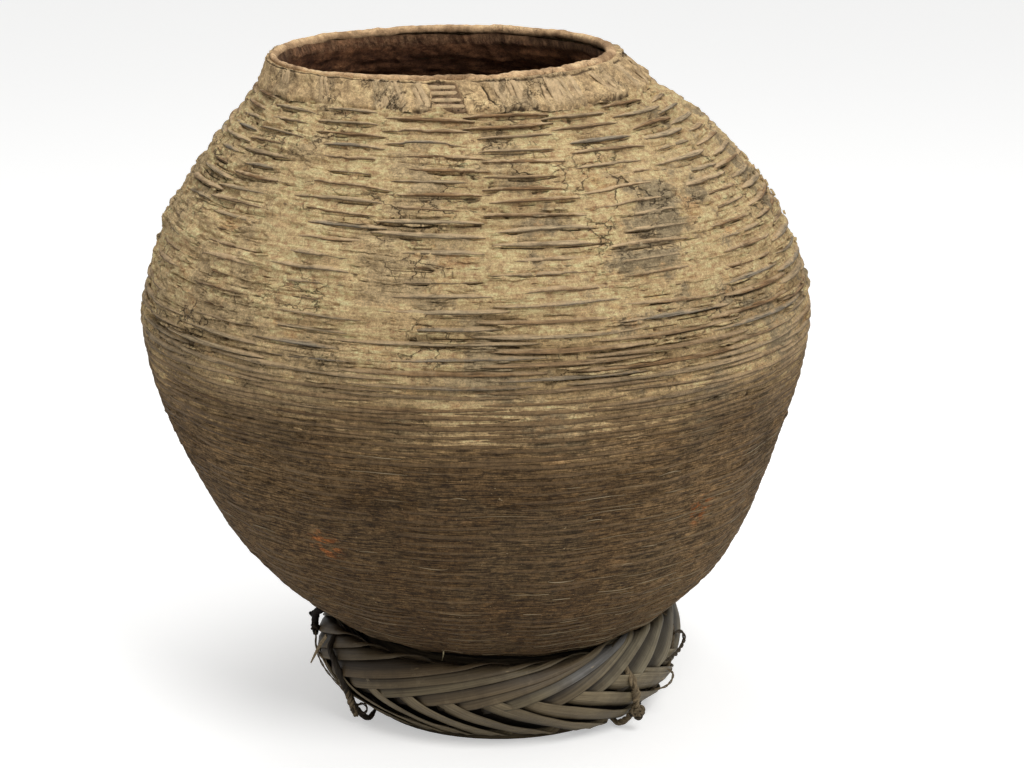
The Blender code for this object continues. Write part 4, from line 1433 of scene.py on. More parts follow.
def make_collar_strips(finish):
    rng = np.random.default_rng(5)
    starts = strip_starts(rng)
    count = len(starts)
    t = np.linspace(0, 1, STRIP_SECTIONS)[None, :]
    out = np.abs(2 * t - 1)                     # 0 at the middle of a strip and 1 at its ends
    middle = FRONT + starts[:, :1]
    way = between(0.0008, COLLAR_HEIGHT + 0.0022, t) + rng.uniform(-0.0006, 0.0006, count)[:, None]
    turn = middle + np.tan(starts[:, 1:]) * (t - 0.5) * COLLAR_HEIGHT / RIM_RADIUS
    turn = turn + 0.004 * wrap_noise(turn, way, 0.05, 0.012, 51)
    high = rng.uniform(*STRIP_HEIGHT, count)[:, None] - STRIP_END_DROP * out ** 6
    high = high + 0.0005 * wrap_noise(turn, way, 0.02, 0.01, 53)
    level = np.stack([-np.sin(turn), np.cos(turn), 0 * turn], -1)
    width = rng.uniform(0.6, 1.2, count)[:, None] * STRIP_WIDTH * (1 + 0.15 * np.sin(9 * t + 40 * middle))
    grid = tubes(wall(turn, way, high), width, STRIP_THICKNESS, STRIP_SIDES, level)
    tone = rng.uniform(0.1, 0.9, count)
    return strip_piece("collar_strips", grid, way, middle, tone, 0.6 * out, finish)


def make_rungs(finish):
    rng = np.random.default_rng(6)
    count = len(RUNG_WAYS)
    t = np.linspace(0, 1, STRIP_SECTIONS)[None, :]
    out = np.abs(2 * t - 1)
    angle = between(BARE_SPOT[0] - 0.6, BARE_SPOT[1] + 0.6, t) + rng.uniform(-0.5, 0.5, count)[:, None]
    turn = FRONT + np.radians(angle)
    way = np.array(RUNG_WAYS)[:, None] + 0.0003 * line_noise(t * 0.02 + np.arange(count)[:, None], 0.01, 61)
    lines = wall(turn, way, RUNG_DEPTH - 0.0006 * out ** 4)
    upright = wall(turn, way + 0.001, 0) - wall(turn, way, 0)
    grid = tubes(lines, RUNG_WIDTH * (1 - 0.15 * out ** 3), RUNG_THICKNESS, STRIP_SIDES, upright)
    return strip_piece("collar_rungs", grid, turn * RIM_RADIUS, way, np.array(RUNG_TONES), out, finish)


for piece in (make_collar_strips(wefts), make_rungs(wefts)):
    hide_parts("rim_lashing")

# %% [markdown]
# The lip is a roll of bamboo and clay laid on top of the hoops and rubbed smooth by hands. It is a
# tube swept round the rim: its middle line rises a little at the back right, as on the real rim,
# and slanting ridges show on the right where the rubbed clay lets the winding through. The rubbed
# clay is rosier than the rest, so the lip has a finish of its own, with a painted shadow under it
# and painted shade between the ridges.

# %% Roll the lip
LIP_COLUMNS = 900
LIP_SIDES = 28
LIP_RADIUS = 0.0031
LIP_WAY = -0.0044
LIP_DEPTH = 0.0040
LIP_RIDGES = 100
RIDGED_SIDE = (-5, 75)       # the ridges stand out between these degrees from the front


def make_lip(finish):
    turn, angle = np.meshgrid(circle(LIP_COLUMNS, 1), circle(LIP_SIDES, 1))
    wound = between(0.25, 1, zone(degrees_from_front(turn), *RIDGED_SIDE, 6))
    ridges = np.sin(LIP_RIDGES * turn + 1.3 * angle + 2.5 * wrap_noise(turn, 0, 0.03, 1, 61))
    lumps = wrap_noise(turn, 0.004 * np.cos(angle), 0.010, 0.006, 63, 3)
    broad = wrap_noise(turn, 0, 0.05, 1, 65, 2)
    thick = LIP_RADIUS * (1 + 0.08 * ridges * wound + 0.12 * lumps + 0.08 * broad)
    way = LIP_WAY + 0.0008 * wrap_noise(turn, 0, 0.030, 1, 67, 2) - thick * np.sin(angle)
    places = wall(turn, way, 1.05 * thick * np.cos(angle) - LIP_DEPTH)
    places[..., 2] += LIP_TILT * np.cos(turn - LIP_TILT_TURN)
    outer = ease(np.cos(angle), -0.2, 0.5) * ease(-np.sin(angle), 0.35, 0.75)
    inner = ease(np.cos(angle), -0.1, -0.7)
    # Painted shade on the underside of the lip and in the grooves between its ridges.
    recess_and_painted_shade = np.clip(outer + 0.5 * ease(ridges, -0.4, -0.95) * wound, 0, 1)
    uv = np.stack([(turn - FIRST_STAVE) / STAVE_TURN, angle / 3], -1)[None]
    rows = np.arange(LIP_SIDES + 1) % LIP_SIDES
    values = {"recess_and_painted_shade": closed(recess_and_painted_shade[rows]), "inner": closed(inner[rows])}
    return make_piece("rim_lip_roll", closed(places[rows]), finish, uv,
                      wrap=True, values=values, flip=True)


LIP_BROWN = colour(142, 115, 86)
LIP_PALE = colour(208, 176, 138)
LIP_INSIDE = colour(132, 102, 76)


def lip_finish():
    material = start_finish("lip_clay", 0.9)
    places = in_space()
    patches = spots(places, 42.0, 6.0, 0.7)
    shade = blend(reach(patches, 0.36, 0.62), LIP_BROWN, LIP_PALE)
    shade = blend(times(number("inner"), 0.35), shade, LIP_INSIDE)
    shade, grains = grit(places, shade, 0.55)
    split = cracks(places, 85.0, 0.04, 0.014)
    split = times(split, reach(spots(places, 30.0, 2.0), 0.50, 0.60))
    shade = blend(times(split, 0.7), shade, SOOT_AND_PAINTED_SHADE)
    # Painted shadow under the lip and between its ridges.
    shade = blend(times(number("recess_and_painted_shade"), 0.26), shade, SOOT_AND_PAINTED_SHADE)
    return end_finish(material, shade, plus(grains, spots(places, 120.0, 4.0, 0.7)), 0.0009)


lip = make_lip(lip_finish())
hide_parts("rim_lip")

# %% [markdown]
# The foot is plaited from flat splints. Each splint runs slanting round the ring and folds over
# its edge. Those of the upper half fall to the left, those of the lower half fall to the right,
# and where they meet, each one starts from under the last one of the other half. Drawn flat, that
# is two combs of slanting bars. So the splints are laid out flat first, as a distance round the
# ring and a distance up its section, and then wrapped on to the section of the band.

# %% The section of the foot
BAND_FLARE = 0.0236
BAND_CROWN = 0.0160
BAND_BOTTOM = 0.0034
BAND_TOP = hoop_high[2] + 0.0030
BAND_BOTTOM_RADIUS = 0.1053
EDGE_ROLL = 0.0034
INNER_REACH = 0.014
FACE_STEPS = 60
ROLL_STEPS = 16
RIGHT_RISE = 0.13            # on the right the band's top is higher by this share of its height
RIGHT_PUSH = 0.0082          # and there its foot stands out this much further


def band_section():
    """Radius and height along the band's section, from inside its foot, round it, to inside its top."""
    share = np.linspace(0, 1, FACE_STEPS)
    radius = BAND_BOTTOM_RADIUS + BAND_FLARE * share + BAND_CROWN * np.sin(math.pi * share)
    height = between(BAND_BOTTOM + EDGE_ROLL, BAND_TOP - EDGE_ROLL, share)
    face = np.stack([radius, height], -1)

    def roll(place, start, end):
        """An arc round the band's edge that leaves its face at this place without a kink."""
        angle = np.linspace(start, end, ROLL_STEPS)[1:]
        middle = place - EDGE_ROLL * np.array([math.cos(start), math.sin(start)])
        return middle + EDGE_ROLL * np.stack([np.cos(angle), np.sin(angle)], -1)

    low_run, top_run = face[1] - face[0], face[-1] - face[-2]
    low = roll(face[0], -math.atan2(low_run[0], low_run[1]), -math.pi)
    top = roll(face[-1], -math.atan2(top_run[0], top_run[1]), math.pi)
    inner_top = top[-1] - (0.002, INNER_REACH)
    inner_low = low[-1] + (0.001, INNER_REACH)
    return np.vstack([inner_low, low[::-1], face, top, inner_top])


SECTION = band_section()
SECTION_WAYS = lengths_along(SECTION)
OUTSIDE_LOW = SECTION_WAYS[ROLL_STEPS]
OUTSIDE_HIGH = SECTION_WAYS[ROLL_STEPS + FACE_STEPS - 1]
SECTION_WAYS -= (OUTSIDE_LOW + OUTSIDE_HIGH) / 2
HALF_FACE = (OUTSIDE_HIGH - OUTSIDE_LOW) / 2
SECTION_SLOPES = unit(np.gradient(SECTION, SECTION_WAYS, axis=0))
BAND_RADIUS = BAND_BOTTOM_RADIUS + BAND_FLARE / 2 + BAND_CROWN


def round_foot(turn, radius, height):
    """Places round the foot's middle."""
    return np.stack([FOOT_SHIFT + radius * np.cos(turn), radius * np.sin(turn), height], -1)


def band(turn, up, lift):
    """Places on the band by turn, distance up its section from the middle, and lift."""
    turn, up, lift = np.broadcast_arrays(turn, up, lift)
    radius, height, out_height, out_radius = (
        np.interp(up, SECTION_WAYS, numbers) for numbers in (*SECTION.T, *SECTION_SLOPES.T))
    radius = radius + lift * out_radius
    height = height - lift * out_height
    angle = degrees_from_front(turn)
    push = RIGHT_PUSH * ease(angle, 8, 42) * ease(angle, 120, 80)
    rise = RIGHT_RISE * ease(angle, 12, 60) * ease(angle, 150, 95)
    radius = radius + push * ease(height, 0.040, 0.008)
    height = height * (1 + rise * ease(height, 0.0, 0.03))
    return round_foot(turn, radius, height)


print(f"the face of the band is {2 * HALF_FACE * 1000:.0f} mm from edge to edge")

# %% [markdown]
# Each half of the plait is one comb. The splints of a comb overlap like roof tiles: the edge of
# each that looks toward the meeting line stands proud, and the other edge dips under the next
# one. The depth of that overlap is stored on the points, so the finish can darken it with painted
# shade. A dark sheet a few millimetres behind closes the small gaps between them, which on the
# real foot are black: the sheet is painted shade. One function makes both combs, and a short
# table holds what differs between them.

# %% Plait the foot
PLAIT_PAIRS = 26
PLAIT_START = math.radians(-12.6)
BLUE_SPLINT = 1              # the one greyish blue splint of the upper half, counted from the start
SPLINT_WIDTH = 0.0168
SPLINT_THICKNESS = 0.0010
SPLINT_DOME = 0.0004
SPLINT_SECTIONS = 60
SPLINT_SIDES = 14
START_DEPTH = -0.0030        # a splint starts this deep, under the other half
MEETING_UP = 0.0120          # the two halves meet this far above the middle of the face
BACKING_LIFT = -0.0042
# Degrees from the front, and how steep the splints that start there are
UPPER_SLOPES = ((-180, 22), (-60, 14), (-25, 14), (0, 19), (20, 25), (40, 28), (80, 26), (180, 22))
LOWER_SLOPES = ((-180, 26), (-60, 34), (-40, 36), (-20, 30), (0, 23), (20, 18), (40, 16), (90, 24), (180, 26))
# For each half: slopes, tilt of a splint, its width's share where it starts, and where its painted shadow
# lies
HALVES = {1: (UPPER_SLOPES, 0.0022, 1, (-0.16, 0.06)), -1: (LOWER_SLOPES, 0.0018, 0.74, (0.24, 0.46))}


def make_splints(name, side, finish):
    """One half of the plait. side is 1 for the upper half and -1 for the lower half."""
    rng = np.random.default_rng(23 + side)
    slopes, tilt, narrow, shadow = HALVES[side]
    spacing = 2 * math.pi / PLAIT_PAIRS

    def pick(low, high):
        return rng.uniform(low, high, PLAIT_PAIRS)[:, None]

    start = FRONT + PLAIT_START + (np.arange(PLAIT_PAIRS)[:, None] + (0.5 if side < 0 else 0)) * spacing
    start = start + pick(-0.03, 0.03)
    slope = np.radians(np.interp(degrees_from_front(start), *zip(*slopes))) + pick(-0.030, 0.030)
    width = np.maximum(SPLINT_WIDTH, 1.04 * spacing * BAND_RADIUS * np.sin(slope)) * pick(0.94, 1.06)
    meeting = MEETING_UP * side + pick(-0.0015, 0.0015)
    t = np.linspace(0, 1, SPLINT_SECTIONS)[None, :]
    up = between(meeting - 0.005, HALF_FACE + EDGE_ROLL * math.pi * 0.8 + INNER_REACH, t)
    run = (up - meeting) / np.tan(slope)
    turn = start + run / BAND_RADIUS
    width = width * (1 + 0.06 * np.sin(t * 5 + pick(0, 6))) * between(narrow, 1, ease(run, 0.0, 0.04))
    bend = 0.0012 * np.sin(t * 3 + pick(0, 6))
    tone = pick(0, 0.85)
    tone[BLUE_SPLINT] = side

    angle = circle(SPLINT_SIDES) + math.pi / SPLINT_SIDES
    across = boxy(np.cos(angle), 0.45)
    flatter = between(1, 0.25, ease(up, HALF_FACE - 0.018, HALF_FACE))[..., None] if side < 0 else 1
    lift = between(START_DEPTH, 0.0004, ease(run, -0.012, 0.014))[..., None] - across * 2 * tilt * flatter
    lift = lift + SPLINT_THICKNESS * boxy(np.sin(angle), 0.8) - SPLINT_DOME * (2 * across) ** 2
    lift = lift + 0.0005 * wrap_noise(turn[..., None] + across, up[..., None], 0.03, 0.02, 71 + side, 2)
    aside = width[..., None] * across
    up_all = (up + bend)[..., None] + aside * np.cos(slope)[..., None]
    turn_all = turn[..., None] - aside * np.sin(slope)[..., None] / BAND_RADIUS
    edge = (np.append(across, across[0]) + 0.5) * 0.016
    uv = lay_out((run + start * 3)[..., None], edge + start[..., None],
                 (PLAIT_PAIRS, SPLINT_SECTIONS, SPLINT_SIDES + 1))
    # Painted shade where a splint starts under the other half and where it dips under its neighbour.
    painted_overlap_shade = np.clip(ease(run, 0.006, -0.004)[..., None] + ease(across, *shadow), 0, 1)
    # The rim value lets the finish darken the splint's edges with painted shade.
    values = {"tone": tone[..., None], "painted_overlap_shade": painted_overlap_shade, "lower": float(side < 0), "rim": np.abs(across) * 2}
    return make_piece(name, band(turn_all, up_all * side, lift), finish, uv,
                      wrap=True, capped=True, values=values, flip=side > 0)


# A near-black sheet behind the splints: painted shade that shows in the gaps between them.
def make_painted_shade_sheet(finish):
    turn, up = np.meshgrid(circle(180), np.linspace(-HALF_FACE - 0.004, HALF_FACE + 0.004, 24))
    sheet = band(turn, up, BACKING_LIFT)[None]
    return make_piece("foot_painted_shade_sheet", sheet, finish, wrap=True, flip=True)


print("an upper splint at the front rises by", np.interp(0, *zip(*UPPER_SLOPES)), "degrees")

# %% [markdown]
# The splints are darker and smoother than the wall's strips, and one of them is bluish. On the
# right they are greyer and lighter, partly their own grey and partly painted light, and the bluish
# one shows only there, partly as a painted sheen. The lower half is lightened as painted light,
# since its splints face down. Fine fibres run along each one and its worn places are bare and
# pale. Where a splint dips under its neighbour the finish turns nearly black with painted shade:
# the number stored on its points says how deep it lies there. Its edges are darkened with painted
# shade too.

# %% Finish for the splints
SPLINT_OLIVE = colour(98, 90, 72)
SPLINT_BROWN = colour(84, 71, 53)
SPLINT_GREY_AND_PAINTED_LIGHT = colour(122, 116, 99)
SPLINT_BLUE_AND_PAINTED_SHEEN = colour(98, 98, 98)
SPLINT_WORN = colour(172, 148, 108)
SPLINT_LOWER_PAINTED_LIGHT = colour(132, 121, 98)
SPLINT_PAINTED_SHADE = colour(26, 20, 14)
SPLINT_STAIN = colour(62, 50, 36)
SPLINT_DUST = colour(140, 124, 98)
FIBRE_DARK = colour(132, 124, 110)
FIBRE_LIGHT = colour(230, 224, 212)


def splint_finish():
    material = start_finish("foot_splints", 0.5)
    places = in_space()
    along = on_surface()
    tone = number("tone")
    aside = node("SeparateXYZ", {"Vector": places}).outputs["X"]
    shade = blend(tone, SPLINT_BROWN, SPLINT_OLIVE)
    # Greyer and lighter on the right: partly the splints' own grey, partly painted light.
    shade = blend(times(reach(aside, 0.06, 0.13), 0.75), shade, SPLINT_GREY_AND_PAINTED_LIGHT)
    # The bluish splint, shown only on the right: partly its own tone, partly a painted sheen.
    blue_and_painted_sheen = times(reach(tone, 0.90, 0.96), reach(aside, 0.045, 0.080))
    shade = blend(blue_and_painted_sheen, shade, SPLINT_BLUE_AND_PAINTED_SHEEN)
    # Painted light: the lower half is lightened, as its splints face down.
    shade = blend(times(number("lower"), 0.55), shade, SPLINT_LOWER_PAINTED_LIGHT)
    fibres = drawn_out(along, 14.0, 900.0, 5.0, 0.65)
    fibre_shade = blend(reach(fibres, 0.3, 0.7), FIBRE_DARK, FIBRE_LIGHT)
    shade = blend(0.62, shade, fibre_shade, "OVERLAY")
    patches = reach(spots(places, 45.0, 5.0, 0.65), 0.42, 0.66)
    shade = blend(times(patches, 0.40), shade, SPLINT_STAIN)
    dusty = reach(spots(places, 80.0, 6.0, 0.75), 0.54, 0.72)
    shade = blend(times(dusty, 0.26), shade, SPLINT_DUST)
    worn = reach(drawn_out(along, 40.0, 160.0, 3.0), 0.68, 0.74)
    shade = blend(times(worn, 0.75), shade, SPLINT_WORN)
    # Painted shade along the edges, and where a splint dips under its neighbour.
    shade = blend(reach(number("rim"), 0.90, 1.0, 0.0, 0.45), shade, SPLINT_PAINTED_SHADE)
    shade = blend(times(number("painted_overlap_shade"), 0.88), shade, SPLINT_PAINTED_SHADE)
    return end_finish(material, shade, fibres, 0.0003)


# Near black: painted shade for the gaps of the foot and for the corner under the basket.
def painted_gap_shade_finish():
    material = start_finish("painted_gap_shade", 0.9)
    shade = blend(spots(in_space(), 160.0, 4.0), colour(14, 11, 8), colour(44, 34, 24))
    return end_finish(material, shade)


splints = splint_finish()
gap_shade_material = painted_gap_shade_finish()
upper_splints = make_splints("foot_splints_upper", 1, splints)
lower_splints = make_splints("foot_splints_lower", -1, splints)
shade_sheet = make_painted_shade_sheet(gap_shade_material)
for piece in (upper_splints, lower_splints, shade_sheet):
    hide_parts("foot_plait")

# %% [markdown]
# Between the plaited band and the hoop that stands on the floor, split strips are packed on edge.
# From the front they show in the dark crescent under the basket. Each packed ring wanders a
# little in height and in radius, so that the eye takes them for strips and not for machined
# rings. One more roll closes the corner where the basket sits down on them.
# That roll is near black: it is painted shade in the corner.

# %% Pack the filler rings
FILLERS = 3
RING_COLUMNS = 360
RING_SIDES = 10
RING_THICKNESS = 0.0046
RING_SWAY = 0.0006
RING_WANDER = 0.0016
ROLL_RADIUS = 0.1052
ROLL_Z = 0.0668
ROLL_THICKNESS = 0.0030


def make_ring(name, radius, low, top, thickness, seed, finish):
    """One packed ring between these heights, with a wandering edge."""
    turn, angle = np.meshgrid(circle(RING_COLUMNS, 1), circle(RING_SIDES, 1) + math.pi / RING_SIDES)
    out = thickness * boxy(np.cos(angle), 0.5) + RING_SWAY * wrap_noise(turn, 0, 0.05, 1, seed, 2)
    height = between(low, top, 0.5 + boxy(np.sin(angle), 0.5))
    height = height + RING_WANDER * wrap_noise(turn, 0, 0.06, 1, seed + 1, 3)
    uv = np.stack([turn * radius, angle * 0.003], -1)[None]
    rows = np.arange(RING_SIDES + 1) % RING_SIDES
    places = round_foot(turn, radius + out, height)[rows]
    return make_piece(name, closed(places), finish, uv, wrap=True, flip=True)


def packed_finish():
    material = start_finish("packed_strips", 0.7)
    streaks = drawn_out(on_surface(), 24.0, 700.0, 4.0, 0.6)
    shade = blend(reach(streaks, 0.36, 0.66), colour(30, 23, 16), colour(104, 88, 64))
    return end_finish(material, shade, streaks, 0.0005)


packed = packed_finish()
for index in range(FILLERS):
    filler = f"foot_filler_hoop_{index + 1}"
    filler_low, filler_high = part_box(filler)
    radius = (filler_high[1] - filler_low[1] - RING_THICKNESS) / 2
    ring = make_ring(f"packed_ring_{index + 1}", radius, filler_low[2], filler_high[2],
                     RING_THICKNESS, 80 + 3 * index, packed)
    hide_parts(filler)
# Painted shade: a near-black roll in the corner where the basket sits on the foot.
corner_roll_in_shade = make_ring("corner_roll_in_shade", ROLL_RADIUS, ROLL_Z - ROLL_THICKNESS / 2, ROLL_Z + ROLL_THICKNESS / 2,
                        ROLL_THICKNESS, 95, gap_shade_material)
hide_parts("foot_filler_hoop_1")

# %% [markdown]
# The band hangs on the hoop by four ties. On the real basket they are twists of dark cord and
# split bark, drawn tight over the band's edges and knotted at the foot. A cord that is sewn down
# like this doesn't hang, so it needs no simulation: each one is a smooth line through a few
# points, given as degrees from the front, radius and height. Three or four thin strands wound
# round that line give the twist. A knot is the same thing on a small loop.

# %% Twist cords and tie knots
STRAND_SIDES = 8
TIE_DETAIL = 10              # steps along a tie between two of its points
TWIST_STEPS = 90
STRIP_STEPS = 60
FLAT_THICKNESS = 0.0012
FLAT_TIP = 0.8               # a flat strip loses this share of its width at its tip
KNOT_TURNS = 4.4 * math.pi
KNOT_SHARES = (0.50, 0.42, 0.38)


def foot_points(points):
    """Places from degrees from the front, radius round the foot's middle, and height."""
    angle, radius, height = np.array(points, dtype=float).T
    return round_foot(FRONT + np.radians(angle), radius, height)


def smooth_line(points, count):
    """An even smooth line through these points, and its length."""
    steered = np.vstack([2 * points[0] - points[1], points, 2 * points[-1] - points[-2]])
    steps = np.linspace(0, 1, TIE_DETAIL, endpoint=False)[:, None]
    line = np.vstack([*smooth_runs(steered, steps), points[-1]])
    way = lengths_along(line)
    even = np.linspace(0, way[-1], count)
    return np.stack([np.interp(even, way, line[:, axis]) for axis in range(3)], -1), way[-1]


def twisted(points, thick, strands, lay, rng):
    """Grids for strands twisted round a line. lay is the length of one full twist."""
    line, length = smooth_line(points, TWIST_STEPS)
    run = unit(np.gradient(line, axis=0))
    side = unit(np.cross(run, (0.31, 0.17, 0.93)))
    upright = np.cross(run, side)
    t = np.linspace(0, 1, TWIST_STEPS)
    uneven = 1 + 0.12 * line_noise(t * length, 0.004, int(rng.integers(99)))
    swell = thick * (1 - 0.45 * np.abs(2 * t - 1) ** 6) * uneven
    turns = t * length / lay * 2 * math.pi + circle(strands)[:, None]
    cosine, sine = np.cos(turns)[..., None], np.sin(turns)[..., None]
    lines = line + (swell * 0.26)[None, :, None] * (cosine * side + sine * upright)
    return tubes(lines, swell * 0.58, swell * 0.46, STRAND_SIDES, cosine * upright - sine * side)


def knot_points(centre, size, seed):
    """A small tangled loop round a place, as the line of a knot."""
    rng = np.random.default_rng(seed)
    turn = np.linspace(0, KNOT_TURNS, 15)[:, None]
    first, second = unit(rng.normal(size=(2, 3)))
    second = unit(np.cross(first, second))
    waves = (np.cos(turn), np.sin(turn), np.sin(0.7 * turn + 1))
    sides = (first, second, np.cross(first, second))
    loop = sum(share * wave * side for share, wave, side in zip(KNOT_SHARES, waves, sides))
    return foot_points([centre])[0] + size * loop


def flat_strip(points, width, count=STRIP_STEPS):
    """Grids for one flat pointed strip along a line."""
    line, _ = smooth_line(foot_points(points), count)
    t = np.linspace(0, 1, count)
    out = unit((line - (FOOT_SHIFT, 0, 0)) * (1, 1, 0))
    level = np.cross(unit(np.gradient(line, axis=0)), out)
    return tubes(line[None], width * (1 - FLAT_TIP * t ** 3)[None], FLAT_THICKNESS, STRAND_SIDES, level[None])


def with_rows(grid, rows):
    """A strand's grid with this many rows instead of its own."""
    place = np.linspace(0, grid.shape[1] - 1, rows)
    below = np.minimum(place.astype(int), grid.shape[1] - 2)
    share = (place - below)[None, :, None, None]
    return between(grid[:, below], grid[:, below + 1], share)


def make_tie(name, parts, finish):
    """One mesh from pairs of strand grids and their tone."""
    rows = max(grid.shape[1] for grid, _ in parts)
    tone = np.concatenate([np.full(grid.shape[0], tone) for grid, tone in parts])
    grid = np.concatenate([with_rows(grid, rows) for grid, _ in parts])
    count = len(grid)
    side = np.linspace(0, 0.01, STRAND_SIDES + 1) + 0.02 * np.arange(count)[:, None, None]
    uv = lay_out(np.linspace(0, 0.08, rows)[None, :, None], side, (count, rows, STRAND_SIDES + 1))
    return make_piece(name, grid, finish, uv,
                      wrap=True, capped=True, values={"tone": tone[:, None, None]})


def tie_finish():
    material = start_finish("tie_cord", 0.7)
    hairs = drawn_out(on_surface(), 160.0, 900.0, 4.0, 0.7)
    shade = blend(number("tone"), colour(22, 17, 13), colour(146, 130, 104))
    hair_shade = blend(reach(hairs, 0.3, 0.7), colour(90, 82, 70), colour(244, 238, 226))
    shade = blend(0.75, shade, hair_shade, "OVERLAY")
    return end_finish(material, shade, hairs, 0.0004)


tie_cord = tie_finish()
rng = np.random.default_rng(77)


def cord_run(points, thick, strands, lay, tone):
    return twisted(foot_points(points), thick, strands, lay, rng), tone


def knot(centre, size, thick, seed, tone):
    return twisted(knot_points(centre, size, seed), thick, 2, 0.010, rng), tone

# %% [markdown]
# The left tie is the thickest: a bundle over the band's edge, a second twist on top of it, a small
# loop and two knots, with lighter strands that cross from the knots to the foot. The tables below
# hold the points of each cord in the order in which it runs, from the top of the band down to the
# hoop.

# %% Tie the left side
LEFT_BUNDLE = ((-68, 0.1300, 0.0640), (-66, 0.1345, 0.0600), (-64, 0.1378, 0.0560), (-59, 0.1396, 0.0504),
               (-57, 0.1374, 0.0396), (-57, 0.1324, 0.0277), (-57, 0.1279, 0.0176), (-57, 0.1240, 0.0110),
               (-57, 0.1150, 0.0030), (-58, 0.1080, 0.0070))
LEFT_TWIST = ((-58, 0.1375, 0.0400), (-57, 0.1325, 0.0277), (-57, 0.1290, 0.0176), (-57, 0.1262, 0.0100),
              (-56, 0.1262, 0.0075))
LEFT_LOOP = ((-57, 0.1262, 0.0150), (-54, 0.1230, 0.0180), (-52.5, 0.1218, 0.0151), (-54, 0.1225, 0.0105),
             (-57, 0.1255, 0.0120))
LEFT_LIGHT = ((-82, 0.1384, 0.0520), (-80, 0.1388, 0.0459), (-72, 0.1372, 0.0421), (-62, 0.1318, 0.0318),
              (-57, 0.1280, 0.0200))
LEFT_THIN = ((-84, 0.1384, 0.0540), (-78, 0.1392, 0.0440), (-70, 0.1372, 0.0360), (-62, 0.1320, 0.0270),
             (-58, 0.1275, 0.0200))
LEFT_TOP = ((-84, 0.1240, 0.0730), (-85, 0.1360, 0.0690), (-86, 0.1385, 0.0620), (-86, 0.1385, 0.0560),
            (-84, 0.1384, 0.0510))
LEFT_END = ((-70.5, 0.1352, 0.0610), (-73, 0.1400, 0.0500), (-77, 0.1440, 0.0350))
left_tie = make_tie("tie_left", [
    cord_run(LEFT_BUNDLE, 0.0052, 4, 0.022, 0.05), cord_run(LEFT_TWIST, 0.0058, 3, 0.014, 0.45),
    cord_run(LEFT_LIGHT, 0.0022, 2, 0.020, 0.65), cord_run(LEFT_THIN, 0.0016, 2, 0.020, 0.50),
    cord_run(LEFT_TOP, 0.0060, 4, 0.016, 0.0), knot((-87, 0.1390, 0.0640), 0.0052, 0.0040, 3, 0.0),
    knot((-85, 0.1385, 0.0560), 0.0046, 0.0036, 6, 0.05),
    knot((-57, 0.1268, 0.0130), 0.0042, 0.0030, 4, 0.15),
    cord_run(LEFT_LOOP, 0.0022, 2, 0.008, 0.1), (flat_strip(LEFT_END, 0.0042), 0.8)], tie_cord)
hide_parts("foot_tie_left")

# %% [markdown]
# The other three are made in the same way from fewer cords. The one at the front right is a pair
# of cords with two knots and a short dark tail. The right one is thin, with a loose loop and a
# curl. The one at the back is a single cord with a knot.

# %% Tie the front, the right and the back
FRONT_RUN = ((42, 0.1215, 0.0690), (42.5, 0.1275, 0.0670), (43, 0.1320, 0.0590), (44, 0.1345, 0.0520),
             (45.2, 0.1376, 0.0455), (46.6, 0.1360, 0.0362), (48.0, 0.1345, 0.0283), (48.8, 0.1325, 0.0224),
             (49, 0.1282, 0.0150), (49.5, 0.1225, 0.0085), (49.5, 0.1150, 0.0042), (49.5, 0.1080, 0.0070))
FRONT_TWIN = ((43.4, 0.1345, 0.0520), (44.6, 0.1382, 0.0440), (47.6, 0.1366, 0.0340), (47.8, 0.1350, 0.0270),
              (49.2, 0.1338, 0.0200))
FRONT_TAIL = ((49, 0.1330, 0.0172), (48.4, 0.1325, 0.0168), (47.6, 0.1318, 0.0164), (46.8, 0.1310, 0.0160))
front_tie = make_tie("tie_front_right", [
    cord_run(FRONT_RUN, 0.0054, 3, 0.014, 0.45), cord_run(FRONT_TWIN, 0.0050, 2, 0.012, 0.60),
    knot((49.4, 0.1340, 0.0176), 0.0056, 0.0050, 5, 0.35),
    knot((49.8, 0.1330, 0.0150), 0.0052, 0.0044, 9, 0.10),
    cord_run(FRONT_TAIL, 0.0036, 2, 0.012, 0.0)], tie_cord)
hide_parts("foot_tie_front_right")

RIGHT_RUN = ((74, 0.1250, 0.0760), (74, 0.1290, 0.0730), (75, 0.1335, 0.0640), (73, 0.1345, 0.0500),
             (70, 0.1338, 0.0380), (67, 0.1298, 0.0290), (66, 0.1222, 0.0190), (66, 0.1140, 0.0090),
             (66, 0.1100, 0.0040), (66, 0.1060, 0.0070))
RIGHT_LOOP = ((64, 0.1372, 0.0470), (72, 0.1386, 0.0465), (79, 0.1400, 0.0485), (80, 0.1405, 0.0530),
              (77.5, 0.1385, 0.0590), (73, 0.1360, 0.0610))
RIGHT_CURL = ((67, 0.1350, 0.0380), (67.5, 0.1392, 0.0345), (66, 0.1395, 0.0300), (63.5, 0.1370, 0.0270),
              (61, 0.1310, 0.0255))
right_tie = make_tie("tie_right", [
    cord_run(RIGHT_RUN, 0.0030, 3, 0.012, 0.35), cord_run(RIGHT_LOOP, 0.0032, 2, 0.016, 0.15),
    cord_run(RIGHT_CURL, 0.0020, 2, 0.014, 0.45)], tie_cord)
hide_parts("foot_tie_right")

BACK_RUN = ((173, 0.1215, 0.0735), (173, 0.1325, 0.0690), (173.3, 0.1375, 0.0560), (172, 0.1395, 0.0420),
            (173.6, 0.1350, 0.0260), (173, 0.1240, 0.0110), (173, 0.1150, 0.0030), (173, 0.1080, 0.0070))
back_tie = make_tie("tie_back", [cord_run(BACK_RUN, 0.0044, 3, 0.014, 0.30),
                                 knot((173, 0.1290, 0.0180), 0.0044, 0.0034, 8, 0.20)], tie_cord)
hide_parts("foot_tie_back")

